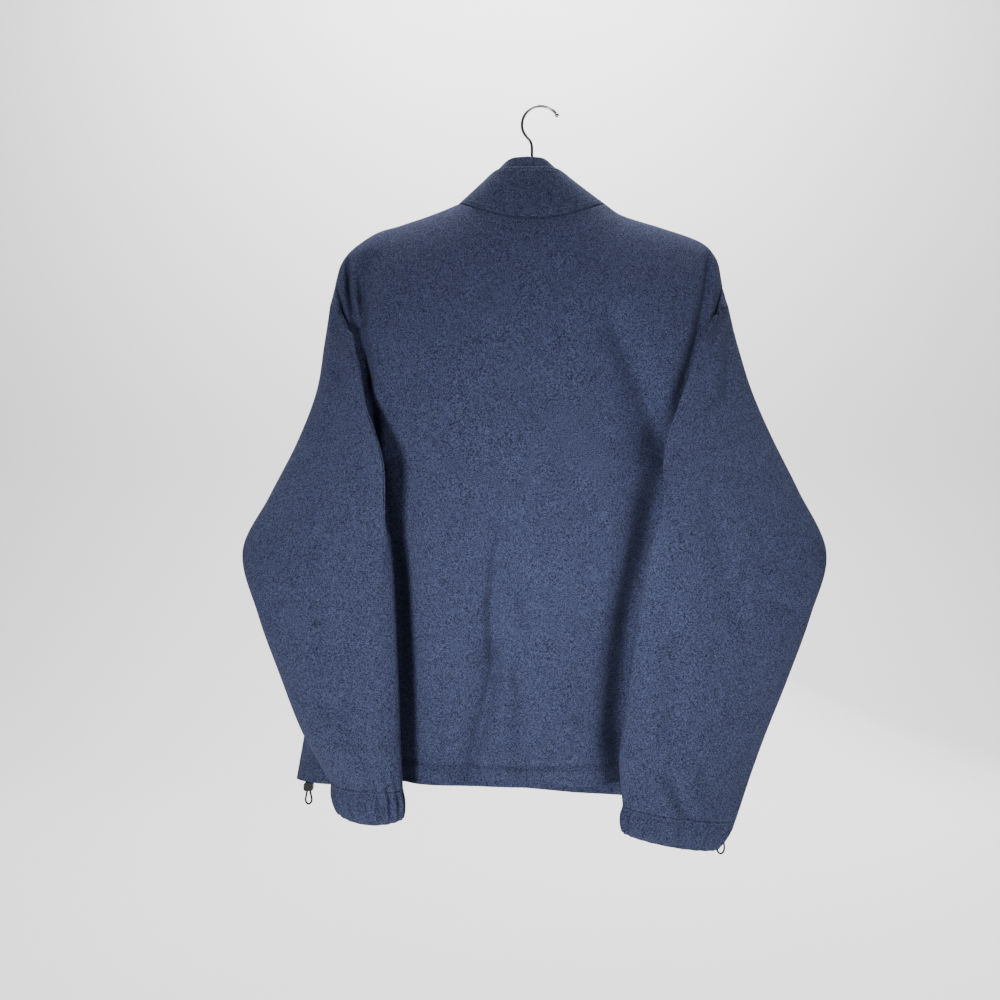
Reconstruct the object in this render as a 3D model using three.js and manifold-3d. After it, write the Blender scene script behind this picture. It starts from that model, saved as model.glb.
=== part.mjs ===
// A fleece zip jacket on a clothes hanger, with the hanger's wire hook. Millimetres, +Z up.
// The garment's front faces -Y and its left side is +X. The origin is the point inside the top of the hook's bow.
import * as THREE from "three";
import { mergeVertices } from "three/addons/utils/BufferGeometryUtils.js";
import Module from "manifold-3d";

// Driving dimensions
const CLOTH = 2.4; // wall of the fleece
const SEAM_GAP = 0.3; // clear space between two pieces at a seam
const LAYER_GAP = 0.4; // clear space between two layers

// Neck: a ring round the hanger's middle. The neck points are the inner ends of the shoulder seams.
const NECK = { x: 11, halfWidth: 88, z: -117, backDrop: 27, frontDrop: 78, backY: 48, frontY: -50 };

// Armhole tops, undersides of the arms and hem ends, one row for each side of the body.
const SIDES = {
  left: { sign: 1, shoulderX: 246.5, shoulderZ: -214, underarmX: 232, underarmZ: -462, hemX: 293, hemZ: -805 },
  right: { sign: -1, shoulderX: -217.6, shoulderZ: -216, underarmX: -207, underarmZ: -466, hemX: -220, hemZ: -832 },
};
const ARMHOLE = { back: 26, front: 26, scoop: 20 }; // depth behind and before the side line, and how far it cuts in

// Shoulder line from the neck point out to the armhole: share of the way out, and drop below the neck point.
const SHOULDERS = {
  left: [
    { at: 0, drop: 0 },
    { at: 0.2, drop: 12 },
    { at: 0.48, drop: 26 },
    { at: 0.65, drop: 33.5 },
    { at: 0.8, drop: 47 },
    { at: 0.9, drop: 60 },
    { at: 0.965, drop: 76 },
    { at: 1, drop: 97 },
  ],
  right: [
    { at: 0, drop: 0 },
    { at: 0.13, drop: 12.5 },
    { at: 0.45, drop: 27 },
    { at: 0.74, drop: 40.5 },
    { at: 0.86, drop: 49.5 },
    { at: 0.93, drop: 61 },
    { at: 0.97, drop: 74 },
    { at: 1, drop: 99 },
  ],
};

// Hem round the body, from the left side seam (0) to the right one (1): height of the edge.
const HEM = {
  back: [
    { at: 0, z: SIDES.left.hemZ },
    { at: 0.25, z: -797 },
    { at: 0.5, z: -799 },
    { at: 0.8, z: -802 },
    { at: 1, z: SIDES.right.hemZ },
  ],
  front: [
    { at: 0, z: SIDES.left.hemZ },
    { at: 0.25, z: -813 },
    { at: 0.5, z: -830 },
    { at: 0.8, z: -841 },
    { at: 1, z: SIDES.right.hemZ },
  ],
};

// Body from the shoulders (0) to the hem (1): depth behind and before the side line, and how square the section is.
const BODY = [
  { at: 0, back: 49, front: 51, square: 0.55 },
  { at: 0.25, back: 50, front: 51, square: 0.6 },
  { at: 0.45, back: 51, front: 52, square: 1.05 },
  { at: 0.7, back: 55, front: 55, square: 1.35 },
  { at: 1, back: 59, front: 57, square: 1.4 },
];
const SHOULDER_ROUND = 125; // height over which the shoulder rounds down into the back and the front

// Soft folds of the body and of the sleeves, seen from behind: a trough from one point to another, as x and z.
// wide is the distance at which it has faded, and depth is negative for a ridge.
const BACK_FOLDS = [
  { x1: 46, z1: -500, x2: 56, z2: -640, wide: 24, depth: 5 },
  { x1: 54, z1: -640, x2: 82, z2: -775, wide: 26, depth: 8 },
  { x1: 24, z1: -560, x2: 22, z2: -775, wide: 20, depth: 4 },
  { x1: -88, z1: -275, x2: -132, z2: -400, wide: 30, depth: 8 },
  { x1: -132, z1: -400, x2: -100, z2: -740, wide: 36, depth: 12 },
  { x1: 176, z1: -430, x2: 146, z2: -770, wide: 32, depth: 11 },
  { x1: 206, z1: -190, x2: 208, z2: -270, wide: 14, depth: 8 },
];
const FRONT_FOLDS = [
  { x1: 96, z1: -420, x2: 118, z2: -760, wide: 26, depth: 8 },
  { x1: -60, z1: -450, x2: -78, z2: -790, wide: 24, depth: 8 },
  { x1: 180, z1: -400, x2: 200, z2: -700, wide: 26, depth: 9 },
  { x1: -160, z1: -380, x2: -168, z2: -700, wide: 26, depth: 9 },
];

// Sleeves from the armhole (0) to the top of the cuff (1). The outer line runs down the outline's outside
// and the inner line down its inside. back and front are half depths, and tuck moves the back side inwards.
const SLEEVES = {
  left: [
    { at: 0.06, outX: 252, outY: 6, outZ: -240, inX: 235, inY: 8, inZ: -468, back: 42, front: 32, tuck: 38 },
    { at: 0.14, outX: 258, outY: 10, outZ: -286, inX: 231, inY: 32, inZ: -480, back: 50, front: 34, tuck: 41 },
    { at: 0.24, outX: 266, outY: 16, outZ: -342, inX: 197, inY: 58, inZ: -494, back: 46, front: 30, tuck: 41 },
    { at: 0.34, outX: 287, outY: 24, outZ: -402, inX: 176, inY: 66, inZ: -508, back: 37, front: 24, tuck: 28 },
    { at: 0.45, outX: 318, outY: 32, outZ: -466, inX: 171, inY: 71, inZ: -530, back: 29, front: 21, tuck: 8 },
    { at: 0.56, outX: 348, outY: 38, outZ: -530, inX: 168, inY: 75, inZ: -560, back: 27, front: 21, tuck: 0 },
    { at: 0.68, outX: 329, outY: 44, outZ: -602, inX: 165, inY: 78, inZ: -618, back: 28, front: 22, tuck: 0 },
    { at: 0.8, outX: 302, outY: 50, outZ: -672, inX: 162, inY: 80, inZ: -682, back: 29, front: 23, tuck: 0 },
    { at: 0.91, outX: 274, outY: 56, outZ: -738, inX: 160, inY: 80, inZ: -745, back: 29, front: 24, tuck: 0 },
    { at: 1, outX: 241, outY: 60, outZ: -792, inX: 158, inY: 80, inZ: -794, back: 25, front: 22, tuck: 0 },
  ],
  right: [
    { at: 0.06, outX: -224, outY: 6, outZ: -242, inX: -210, inY: 8, inZ: -472, back: 42, front: 32, tuck: 50 },
    { at: 0.14, outX: -234, outY: 10, outZ: -288, inX: -206, inY: 32, inZ: -486, back: 50, front: 34, tuck: 62 },
    { at: 0.24, outX: -249, outY: 16, outZ: -342, inX: -170, inY: 60, inZ: -500, back: 46, front: 30, tuck: 60 },
    { at: 0.34, outX: -270, outY: 24, outZ: -396, inX: -124, inY: 72, inZ: -516, back: 37, front: 24, tuck: 36 },
    { at: 0.45, outX: -299, outY: 32, outZ: -459, inX: -115, inY: 77, inZ: -540, back: 30, front: 21, tuck: 10 },
    { at: 0.56, outX: -330, outY: 38, outZ: -531, inX: -110, inY: 79, inZ: -570, back: 28, front: 21, tuck: 0 },
    { at: 0.68, outX: -310, outY: 44, outZ: -604, inX: -101, inY: 80, inZ: -632, back: 29, front: 22, tuck: 0 },
    { at: 0.8, outX: -280, outY: 50, outZ: -680, inX: -92, inY: 83, inZ: -700, back: 30, front: 23, tuck: 0 },
    { at: 0.91, outX: -250, outY: 56, outZ: -750, inX: -84, inY: 84, inZ: -762, back: 30, front: 24, tuck: 0 },
    { at: 1, outX: -219, outY: 61, outZ: -834, inX: -89, inY: 83, inZ: -812, back: 25, front: 22, tuck: 0 },
  ],
};
const SLEEVE_FOLDS = {
  left: [
    { x1: 244, z1: -232, x2: 236, z2: -330, wide: 9, depth: 6 },
    { x1: 236, z1: -330, x2: 246, z2: -470, wide: 16, depth: 5 },
    { x1: 252, z1: -500, x2: 244, z2: -640, wide: 18, depth: 4 },
    { x1: 205, z1: -640, x2: 216, z2: -735, wide: 14, depth: 3 },
    { x1: 193, z1: -762, x2: 195, z2: -800, wide: 8, depth: 5 },
  ],
  right: [
    { x1: -213, z1: -262, x2: -199, z2: -345, wide: 9, depth: -4 },
    { x1: -224, z1: -262, x2: -214, z2: -350, wide: 10, depth: 5 },
    { x1: -190, z1: -470, x2: -214, z2: -600, wide: 18, depth: 4 },
    { x1: -150, z1: -620, x2: -140, z2: -730, wide: 16, depth: 4 },
    { x1: -138, z1: -776, x2: -160, z2: -822, wide: 9, depth: 6 },
  ],
};
// Cuffs: a turned hem gathered on elastic. outX to inZ are the two ends of its lower edge.
const CUFFS = {
  left: { outX: 235, outY: 60, outZ: -826, inX: 156, inY: 79, inZ: -827, back: 23, front: 20, gathers: 18, sag: 5 },
  right: { outX: -200, outY: 60, outZ: -868, inX: -87, inY: 82, inZ: -842, back: 23, front: 20, gathers: 22, sag: 1 },
};
const GATHER = 1.1; // height of each gather above and below the cuff's smooth form

// Collar from centre back (0) to its front end (1), half of it: the top edge, sideways from the neck's middle.
const COLLAR = [
  { at: 0, side: 0, y: 40, z: -71 },
  { at: 0.2, side: 22, y: 36, z: -73 },
  { at: 0.42, side: 38, y: 8, z: -80 },
  { at: 0.6, side: 41, y: -26, z: -88 },
  { at: 0.78, side: 48, y: -56, z: -101 },
  { at: 0.9, side: 44, y: -74, z: -114 },
  { at: 1, side: 27, y: -80, z: -126 },
];
const COLLAR_LEAN = 6; // how far the collar's top stands to the left of its neck seam
const COLLAR_BACK_SHARE = 0.42; // share of the half collar that lies behind the neck point
const COLLAR_EDGE = 0.81; // share of the height at which the outer layer ends
const COLLAR_LAYERS = 0.9; // clear space between the collar's two layers
const COLLAR_OVERLAP = 0.14; // share of the height by which the inner layer runs down behind the outer one

// Zip down the front
const ZIP = { halfGap: 4.5, tape: 14, tapeThick: 0.8, chainHalf: 2.9, chainThick: 2.2, collarTape: 6, collarTapeThick: 1.4 };
const SLIDER = { width: 8.2, height: 12, thick: 5, lug: 1.6 };
const PULL = { width: 6.4, height: 24, thick: 1.8, eye: 3, round: 2.5, below: 3 }; // eye's width and radius, tab's top

// Hanger: a flat bar that follows the shoulders, and a wire hook with a ball on its end
const HANGER = { thick: 12, middleDeep: 30, endDeep: 17, clear: 1.2, crownZ: -106, span: 0.83 };
const HOOK = { bow: 22.6, wire: 1.75, stemX: 10.7, bendZ: -50, footZ: -111, ball: 2.6 };

// Drawcord loops at the two ends of the hem, each through a cord lock
const CORD = 1.1; // radius of the elastic cord
const CORD_APART = 1.7; // half the distance between a cord's two strands under its lock
// Each lock hangs under the back's hem at a share of the way across. loop is the cord's width below the lock.
const LOCKS = {
  left: { share: 0.035, loop: 12, long: 16 },
  right: { share: 0.988, loop: 14, long: 51 },
};
const LOCK = { width: 11, height: 9.5, deep: 7.5, cut: 1.6 };
// Half the width of a lock's top, as a share of the hem
const LOCK_SHARE = (LOCK.width / 2 - LOCK.cut) / (SIDES.left.hemX - SIDES.right.hemX);

// Grid sizes
const STEPS = { side: 12, armhole: 11, shoulder: 9, neck: 12, front: 6, sleeve: 24, cuffRound: 66, cuffDown: 2 };

const V = (x, y, z) => new THREE.Vector3(x, y, z);
const lerp = THREE.MathUtils.lerp;
const clamp = THREE.MathUtils.clamp;
const smooth = (t) => THREE.MathUtils.smoothstep(t, 0, 1);

// The value of a column of a table at a place, on a smooth curve through its rows.
function column(rows, name, at) {
  const last = rows.length - 1;
  let i = 0;
  while (i < last - 1 && at > rows[i + 1].at) i += 1;
  const slope = (k) => {
    const a = rows[Math.max(k - 1, 0)];
    const b = rows[Math.min(k + 1, last)];
    return (b[name] - a[name]) / (b.at - a.at);
  };
  const step = rows[i + 1].at - rows[i].at;
  const t = clamp((at - rows[i].at) / step, 0, 1);
  const t2 = t * t;
  const t3 = t2 * t;
  return (
    (2 * t3 - 3 * t2 + 1) * rows[i][name] +
    (t3 - 2 * t2 + t) * step * slope(i) +
    (3 * t2 - 2 * t3) * rows[i + 1][name] +
    (t3 - t2) * step * slope(i + 1)
  );
}

// How far the folds of a table press the cloth in at a place seen from behind.
function foldDepth(folds, x, z) {
  let sum = 0;
  for (const f of folds) {
    const dx = f.x2 - f.x1;
    const dz = f.z2 - f.z1;
    const t = clamp(((x - f.x1) * dx + (z - f.z1) * dz) / (dx * dx + dz * dz), 0, 1);
    const off = Math.hypot(x - f.x1 - t * dx, z - f.z1 - t * dz) / f.wide;
    sum += f.depth * Math.exp(-off * off * 1.6);
  }
  return sum;
}

// The armhole seam of one side: turn is 0 at the shoulder, half way round at the underarm, and passes the back first.
function armhole(side, turn) {
  const s = SIDES[side];
  const up = Math.cos(turn);
  const out = Math.sin(turn);
  const x = lerp(s.underarmX, s.shoulderX, (1 + up) / 2) - s.sign * ARMHOLE.scoop * out * out;
  const y = out * (out > 0 ? ARMHOLE.back : ARMHOLE.front);
  return V(x, y, lerp(s.underarmZ, s.shoulderZ, (1 + up) / 2));
}

// The side edge of a body panel at a row: up the side seam, then up the armhole seam.
function sideEdge(side, row, back) {
  const s = SIDES[side];
  if (row <= STEPS.side) {
    const t = row / STEPS.side;
    return V(lerp(s.hemX, s.underarmX, t), 0, lerp(s.hemZ, s.underarmZ, t));
  }
  const turn = Math.PI * (1 - (row - STEPS.side) / STEPS.armhole);
  return armhole(side, back ? turn : -turn);
}

// The neckline: -1 is the left front end, 0 is centre back and 1 is the right front end.
function neckline(at) {
  const share = Math.abs(at);
  const sign = at < 0 ? 1 : -1;
  if (share <= COLLAR_BACK_SHARE) {
    const turn = (Math.PI / 2) * (share / COLLAR_BACK_SHARE);
    const low = Math.cos(turn);
    return V(NECK.x + sign * NECK.halfWidth * Math.sin(turn), NECK.backY * low, NECK.z - NECK.backDrop * low * low);
  }
  const turn = FRONT_TURN * ((share - COLLAR_BACK_SHARE) / (1 - COLLAR_BACK_SHARE));
  const low = Math.sin(turn);
  return V(NECK.x + sign * NECK.halfWidth * Math.cos(turn), NECK.frontY * low, NECK.z - NECK.frontDrop * low ** 1.4);
}
const FRONT_TURN = Math.acos(ZIP.halfGap / NECK.halfWidth);

// Columns of a body panel across its top edge, as the share of the way from the left armhole to the right one.
const TOP = { left: SIDES.left.shoulderX, right: SIDES.right.shoulderX };
const shareAcross = (x) => (TOP.left - x) / (TOP.left - TOP.right);

// The top edge of the back or the front above a share of the way across.
function topEdge(share, back) {
  const x = lerp(TOP.left, TOP.right, share);
  const off = (x - NECK.x) / NECK.halfWidth;
  if (Math.abs(off) < 1) {
    const low = Math.sqrt(1 - off * off);
    if (back) return V(x, NECK.backY * low, NECK.z - NECK.backDrop * low * low);
    return V(x, NECK.frontY * low, NECK.z - NECK.frontDrop * low ** 1.4);
  }
  const side = off > 0 ? "left" : "right";
  const neckX = NECK.x + SIDES[side].sign * NECK.halfWidth;
  const out = clamp((x - neckX) / (SIDES[side].shoulderX - neckX), 0, 1);
  return V(x, 0, NECK.z - column(SHOULDERS[side], "drop", out));
}

// A point of the body's outer face: share across, row from the hem (0) up, and which face.
function bodyPoint(share, row, back) {
  const left = sideEdge("left", row, back);
  const right = sideEdge("right", row, back);
  const up = (edge, s) => (edge.z - s.hemZ) / (s.shoulderZ - s.hemZ);
  const rise = lerp(up(left, SIDES.left), up(right, SIDES.right), share);
  const top = topEdge(share, back);
  const x = lerp(left.x, right.x, share);
  const noNeck = Math.max(top.z, Math.abs(lerp(TOP.left, TOP.right, share) - NECK.x) < NECK.halfWidth ? NECK.z : top.z);
  const z = lerp(column(back ? HEM.back : HEM.front, "z", share), noNeck, rise) + (top.z - noNeck) * rise ** 6;
  const edgeY = lerp(left.y, right.y, share);
  const face = back ? "back" : "front";
  const full = (back ? 1 : -1) * column(BODY, face, 1 - rise);
  const below = clamp((top.z - z) / SHOULDER_ROUND, 0, 1);
  const start = 1 - Math.sqrt(1 - Math.min(top.y / full, 1) ** 2);
  const deep = full * Math.sqrt(1 - (1 - Math.min(start + below, 1)) ** 2);
  const neckShare = (NECK.x + NECK.halfWidth - TOP.left) / (TOP.right - TOP.left);
  const farShare = (NECK.x - NECK.halfWidth - TOP.left) / (TOP.right - TOP.left);
  const inward = Math.min(share / neckShare, (1 - share) / (1 - farShare), 1);
  const angle = Math.acos(1 - clamp(inward, 0, 1));
  const round = Math.sin(angle) ** column(BODY, "square", 1 - rise);
  let y = edgeY + (deep - edgeY) * round;
  const folds = back ? BACK_FOLDS : FRONT_FOLDS;
  const press = foldDepth(folds, x, z) * smooth(below * 2.5) * smooth(inward * 5);
  y -= (back ? 1 : -1) * press;
  return V(x, y, z);
}

// The height of the back's outer face over a place seen from behind. Past its edge it falls away.
function backFace(x, z) {
  let row = STEPS.side;
  let left = sideEdge("left", row, true);
  let right = sideEdge("right", row, true);
  let share = 0.5;
  for (let pass = 0; pass < 6; pass += 1) {
    share = clamp((left.x - x) / (left.x - right.x), 0, 1);
    const hem = column(HEM.back, "z", share);
    const rise = clamp((z - hem) / (topEdge(share, true).z - hem), 0, 1);
    const s = SIDES[share < 0.5 ? "left" : "right"];
    const bend = (s.underarmZ - s.hemZ) / (s.shoulderZ - s.hemZ);
    const arm = Math.acos(clamp(1 - (2 * (rise - bend)) / (1 - bend), -1, 1)) / Math.PI;
    row = rise < bend ? (STEPS.side * rise) / bend : STEPS.side + STEPS.armhole * arm;
    left = sideEdge("left", row, true);
    right = sideEdge("right", row, true);
  }
  const past = Math.max(x - left.x, right.x - x, 0);
  return bodyPoint(share, row, true).y - past * 2;
}
const REST_GAP = 2.5; // clear space between the back and what lies on it
const REST_AHEAD = 7.5; // how far inwards the back is measured, so that its sides are cleared as well

// A point of a sleeve or cuff, moved back to lie on the body where it would pass through it.
function restOnBack(point, near, amount) {
  const inwards = point.x - Math.sign(point.x) * REST_AHEAD * near;
  const over = point.y - backFace(inwards, point.z) - REST_GAP * near;
  const ease = 3 * near;
  point.y += (amount * (Math.sqrt(over * over + ease * ease) - over)) / 2;
  return point;
}

// Column shares of a panel: the shoulder part is dense towards the armhole and the neck part towards the neck points.
function shoulderShares(side) {
  const neckX = NECK.x + SIDES[side].sign * NECK.halfWidth;
  const whole = shareAcross(neckX);
  return Array.from({ length: STEPS.shoulder + 1 }, (_, i) => {
    const way = 1 - Math.cos((Math.PI / 2) * (i / STEPS.shoulder));
    return side === "left" ? whole * way : 1 - (1 - whole) * way;
  });
}
function backShares() {
  const neck = Array.from({ length: STEPS.neck - 1 }, (_, i) => {
    const turn = (Math.PI * (i + 1)) / STEPS.neck - Math.PI / 2;
    return shareAcross(NECK.x - NECK.halfWidth * Math.sin(turn));
  });
  return [...shoulderShares("left"), ...neck, ...shoulderShares("right").reverse()];
}
function frontShares(side) {
  const neck = Array.from({ length: STEPS.front }, (_, i) => {
    const turn = (FRONT_TURN * (i + 1)) / STEPS.front;
    return shareAcross(NECK.x + SIDES[side].sign * NECK.halfWidth * Math.cos(turn));
  });
  return [...shoulderShares(side), ...neck];
}

// A grid of points: rows[j][i], with what a wall needs to know.
const grid = (rows, closed = false) => ({ rows, closed });

function panelGrid(shares, back) {
  const count = STEPS.side + STEPS.armhole;
  return grid(Array.from({ length: count + 1 }, (_, j) => shares.map((s) => bodyPoint(s, j, back))));
}

// A section of a sleeve from its row: turn as for the armhole.
function sleeveRing(row, sign, turn) {
  const up = Math.cos(turn);
  const out = Math.sin(turn);
  const behind = Math.max(out, 0);
  return V(
    lerp(row.inX, row.outX, (1 + up) / 2) - sign * row.tuck * behind * behind,
    lerp(row.inY, row.outY, (1 + up) / 2) + out * (out > 0 ? row.back : row.front),
    lerp(row.inZ, row.outZ, (1 + up) / 2),
  );
}

const SLEEVE_COLUMNS = ["outX", "outY", "outZ", "inX", "inY", "inZ", "back", "front", "tuck"];
const SLEEVE_START = 0.1; // share of the sleeve over which it leaves the armhole's own form

function sleevePoint(side, at, turn) {
  const rows = SLEEVES[side];
  const row = Object.fromEntries(SLEEVE_COLUMNS.map((name) => [name, column(rows, name, Math.max(at, rows[0].at))]));
  const left = clamp(at / SLEEVE_START, 0, 1);
  row.tuck *= left ** 2;
  const free = sleeveRing(row, SIDES[side].sign, turn);
  const point = armhole(side, turn).lerp(free, Math.sin((Math.PI / 2) * left));
  const behind = Math.max(Math.sin(turn), 0);
  point.y -= foldDepth(SLEEVE_FOLDS[side], point.x, point.z) * smooth(behind * 2) * smooth(at * 12);
  const back = clamp(behind * 4, 0, 1);
  return restOnBack(point, smooth(at * 22), lerp(smooth(at * 24 - 0.4), 1, back));
}

function sleeveGrid(side) {
  const round = 2 * STEPS.armhole;
  const rows = Array.from({ length: STEPS.sleeve + 1 }, (_, j) => {
    const at = (j / STEPS.sleeve) ** 1.25;
    return Array.from({ length: round + 1 }, (_, i) => sleevePoint(side, at, Math.PI + (2 * Math.PI * i) / round));
  });
  return grid(rows);
}

function cuffGrid(side, sleeve) {
  const cuff = { ...CUFFS[side], tuck: 0 };
  const end = sleeve.rows[STEPS.sleeve];
  const perStep = STEPS.cuffRound / (end.length - 1);
  const rows = Array.from({ length: STEPS.cuffDown + 1 }, (_, j) => {
    const down = j / STEPS.cuffDown;
    return Array.from({ length: STEPS.cuffRound + 1 }, (_, i) => {
      const turn = Math.PI + (2 * Math.PI * i) / STEPS.cuffRound;
      const from = Math.min(Math.floor(i / perStep), end.length - 2);
      const point = end[from].clone().lerp(end[from + 1], i / perStep - from);
      point.lerp(sleeveRing(cuff, SIDES[side].sign, turn), down);
      const gather = GATHER * Math.cos(cuff.gathers * turn) * Math.sin(Math.PI * (0.25 + 0.5 * down));
      const away = V(Math.cos(turn) * SIDES[side].sign * 0.6, Math.sin(turn), 0).normalize();
      point.addScaledVector(away, gather * smooth(down * 4));
      point.z -= cuff.sag * Math.sin(turn) ** 2 * down;
      return down ? restOnBack(point, 1, 1) : point;
    });
  });
  return grid(rows);
}

// The collar's outer face: at as for the neckline, and up from the neck seam (0) to the top edge (1).
function collarPoint(at, up) {
  const share = Math.abs(at);
  const sign = at < 0 ? 1 : -1;
  const top = V(
    NECK.x + COLLAR_LEAN + sign * column(COLLAR, "side", share),
    column(COLLAR, "y", share),
    column(COLLAR, "z", share),
  );
  const point = neckline(at).lerp(top, up);
  const behind = smooth(1 - share * 2);
  point.y += 4 * behind * Math.sin(Math.PI * up);
  return point;
}
const COLLAR_STATIONS = [
  ...Array.from({ length: 2 * STEPS.front + STEPS.neck + 1 }, (_, i) => {
    if (i < STEPS.front) return -1 + (1 - COLLAR_BACK_SHARE) * (i / STEPS.front);
    if (i > STEPS.front + STEPS.neck) {
      return COLLAR_BACK_SHARE + (1 - COLLAR_BACK_SHARE) * ((i - STEPS.front - STEPS.neck) / STEPS.front);
    }
    return -COLLAR_BACK_SHARE + 2 * COLLAR_BACK_SHARE * ((i - STEPS.front) / STEPS.neck);
  }),
];
const collarGrid = (low, high, steps) =>
  grid(
    Array.from({ length: steps + 1 }, (_, j) =>
      COLLAR_STATIONS.map((at) => collarPoint(at, lerp(low, high, j / steps))),
    ),
  );

// Normals of a grid, pointing to the cloth's outer side, which flip turns round.
function normalsOf({ rows }, flip) {
  const last = rows.length - 1;
  return rows.map((row, j) =>
    row.map((_, i) => {
      const across = rows[j][Math.min(i + 1, row.length - 1)].clone().sub(rows[j][Math.max(i - 1, 0)]);
      const down = rows[Math.min(j + 1, last)][i].clone().sub(rows[Math.max(j - 1, 0)][i]);
      return across.cross(down).normalize().multiplyScalar(flip ? -1 : 1);
    }),
  );
}

const onEdge = ({ rows }, j, i) => j === 0 || i === 0 || j === rows.length - 1 || i === rows[0].length - 1;
const key = (p) => [p.x, p.y, p.z].map((c) => Math.round(c * 100) + 0).join();

const EASE = { rows: 6, out: 1.3, down: 0, z: -380, over: 70 };

// Pieces that share a seam get one direction for their edges there, and each draws back by half the gap.
function sewTogether(pieces) {
  const sums = new Map();
  const eachEdge = (use) =>
    pieces.forEach((piece) =>
      piece.grid.rows.forEach((row, j) => row.forEach((p, i) => onEdge(piece.grid, j, i) && use(piece, p, j, i))),
    );
  eachEdge((piece, p, j, i) => {
    const k = key(p);
    if (!sums.has(k)) sums.set(k, V(0, 0, 0));
    sums.get(k).add(piece.normals[j][i]);
  });
  const moved = [];
  eachEdge((piece, p, j, i) => {
    const { rows } = piece.grid;
    piece.normals[j][i] = sums.get(key(p)).clone().normalize();
    const inner = rows[clamp(j, 1, rows.length - 2)][clamp(i, 1, rows[0].length - 2)];
    const pull = inner.clone().sub(p).setLength(SEAM_GAP * piece.draw);
    moved.push(() => p.add(pull));
  });
  moved.forEach((move) => move());
}

// A sleeve's first rows stand out a little from the armhole, most under the arm.
function easeOut(piece) {
  const { sign } = SIDES[piece.name === "sleeve_left" ? "left" : "right"];
  piece.grid.rows.slice(0, EASE.rows).forEach((row, j) =>
    row.forEach((p) => {
      const low = smooth((EASE.z - p.z) / EASE.over);
      p.x += sign * EASE.out * (1 + low) * (1 - j / EASE.rows);
      p.z -= EASE.down * low * (1 - j / EASE.rows);
    }),
  );
}

// A closed wall from an outer grid of points, its normals and its thickness.
function wall({ rows }, normals, thick, lift = 0) {
  const high = rows.length;
  const wide = rows[0].length;
  const points = [];
  for (const depth of [lift, lift - thick]) {
    rows.forEach((row, j) => row.forEach((p, i) => points.push(p.clone().addScaledVector(normals[j][i], depth))));
  }
  const index = [];
  const at = (layer, j, i) => (layer * high + j) * wide + i;
  const quad = (a, b, c, d) => index.push(a, b, c, a, c, d);
  for (let j = 0; j < high - 1; j += 1) {
    for (let i = 0; i < wide - 1; i += 1) {
      quad(at(0, j, i), at(0, j, i + 1), at(0, j + 1, i + 1), at(0, j + 1, i));
      quad(at(1, j, i), at(1, j + 1, i), at(1, j + 1, i + 1), at(1, j, i + 1));
    }
  }
  for (let i = 0; i < wide - 1; i += 1) {
    quad(at(0, 0, i), at(1, 0, i), at(1, 0, i + 1), at(0, 0, i + 1));
    quad(at(0, high - 1, i), at(0, high - 1, i + 1), at(1, high - 1, i + 1), at(1, high - 1, i));
  }
  for (let j = 0; j < high - 1; j += 1) {
    quad(at(0, j, 0), at(0, j + 1, 0), at(1, j + 1, 0), at(1, j, 0));
    quad(at(0, j, wide - 1), at(1, j, wide - 1), at(1, j + 1, wide - 1), at(0, j + 1, wide - 1));
  }
  return facingOut(points, index);
}

// A geometry from points and faces, with its faces turned outwards if they point in.
function facingOut(points, index) {
  let volume = 0;
  for (let i = 0; i < index.length; i += 3) {
    const [a, b, c] = [points[index[i]], points[index[i + 1]], points[index[i + 2]]];
    volume += a.dot(b.clone().cross(c));
  }
  if (volume < 0) {
    for (let i = 0; i < index.length; i += 3) [index[i + 1], index[i + 2]] = [index[i + 2], index[i + 1]];
  }
  const geometry = new THREE.BufferGeometry().setFromPoints(points);
  geometry.setIndex(index);
  geometry.computeVertexNormals();
  return geometry;
}

// Materials, as the real surfaces look
const material = (color, roughness, metalness = 0) => new THREE.MeshStandardMaterial({ color, roughness, metalness });
const FLEECE = material(0x2f3a57, 0.95);
const TAPE = material(0x20283d, 0.85);
const BLACK = material(0x14161a, 0.5);
const STEEL = material(0xb9bcc0, 0.22, 1);
const WOOD = material(0xc9a77a, 0.5);

const jacket = new THREE.Group();
function add(name, geometry, look, place) {
  const mesh = new THREE.Mesh(geometry, look);
  mesh.name = name;
  if (place) mesh.position.copy(place);
  jacket.add(mesh);
  return mesh;
}

// Cloth pieces
const piece = (name, pieceGrid, flip, draw = 0.7) => ({
  name,
  draw,
  grid: pieceGrid,
  normals: normalsOf(pieceGrid, flip),
});
const sleeves = { left: sleeveGrid("left"), right: sleeveGrid("right") };
const cloth = [
  piece("back", panelGrid(backShares(), true), false),
  piece("front_left", panelGrid(frontShares("left"), false), true),
  piece("front_right", panelGrid(frontShares("right"), false), false),
  piece("sleeve_left", sleeves.left, true, 1),
  piece("sleeve_right", sleeves.right, false, 1),
  piece("cuff_left", cuffGrid("left", sleeves.left), true),
  piece("cuff_right", cuffGrid("right", sleeves.right), false),
  piece("collar", collarGrid(0, COLLAR_EDGE, 4), false, 2.4),
];
sewTogether(cloth);
cloth.filter((p) => p.name.startsWith("sleeve")).forEach(easeOut);
cloth.forEach((p) => add(p.name, wall(p.grid, p.normals, CLOTH), FLEECE));

// The collar's inner layer, whose top shows above the outer layer's edge
const innerBand = collarGrid(COLLAR_EDGE - COLLAR_OVERLAP, 1, 3);
add("collar_inner", wall(innerBand, normalsOf(innerBand, false), CLOTH, -CLOTH - COLLAR_LAYERS), FLEECE);

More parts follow.
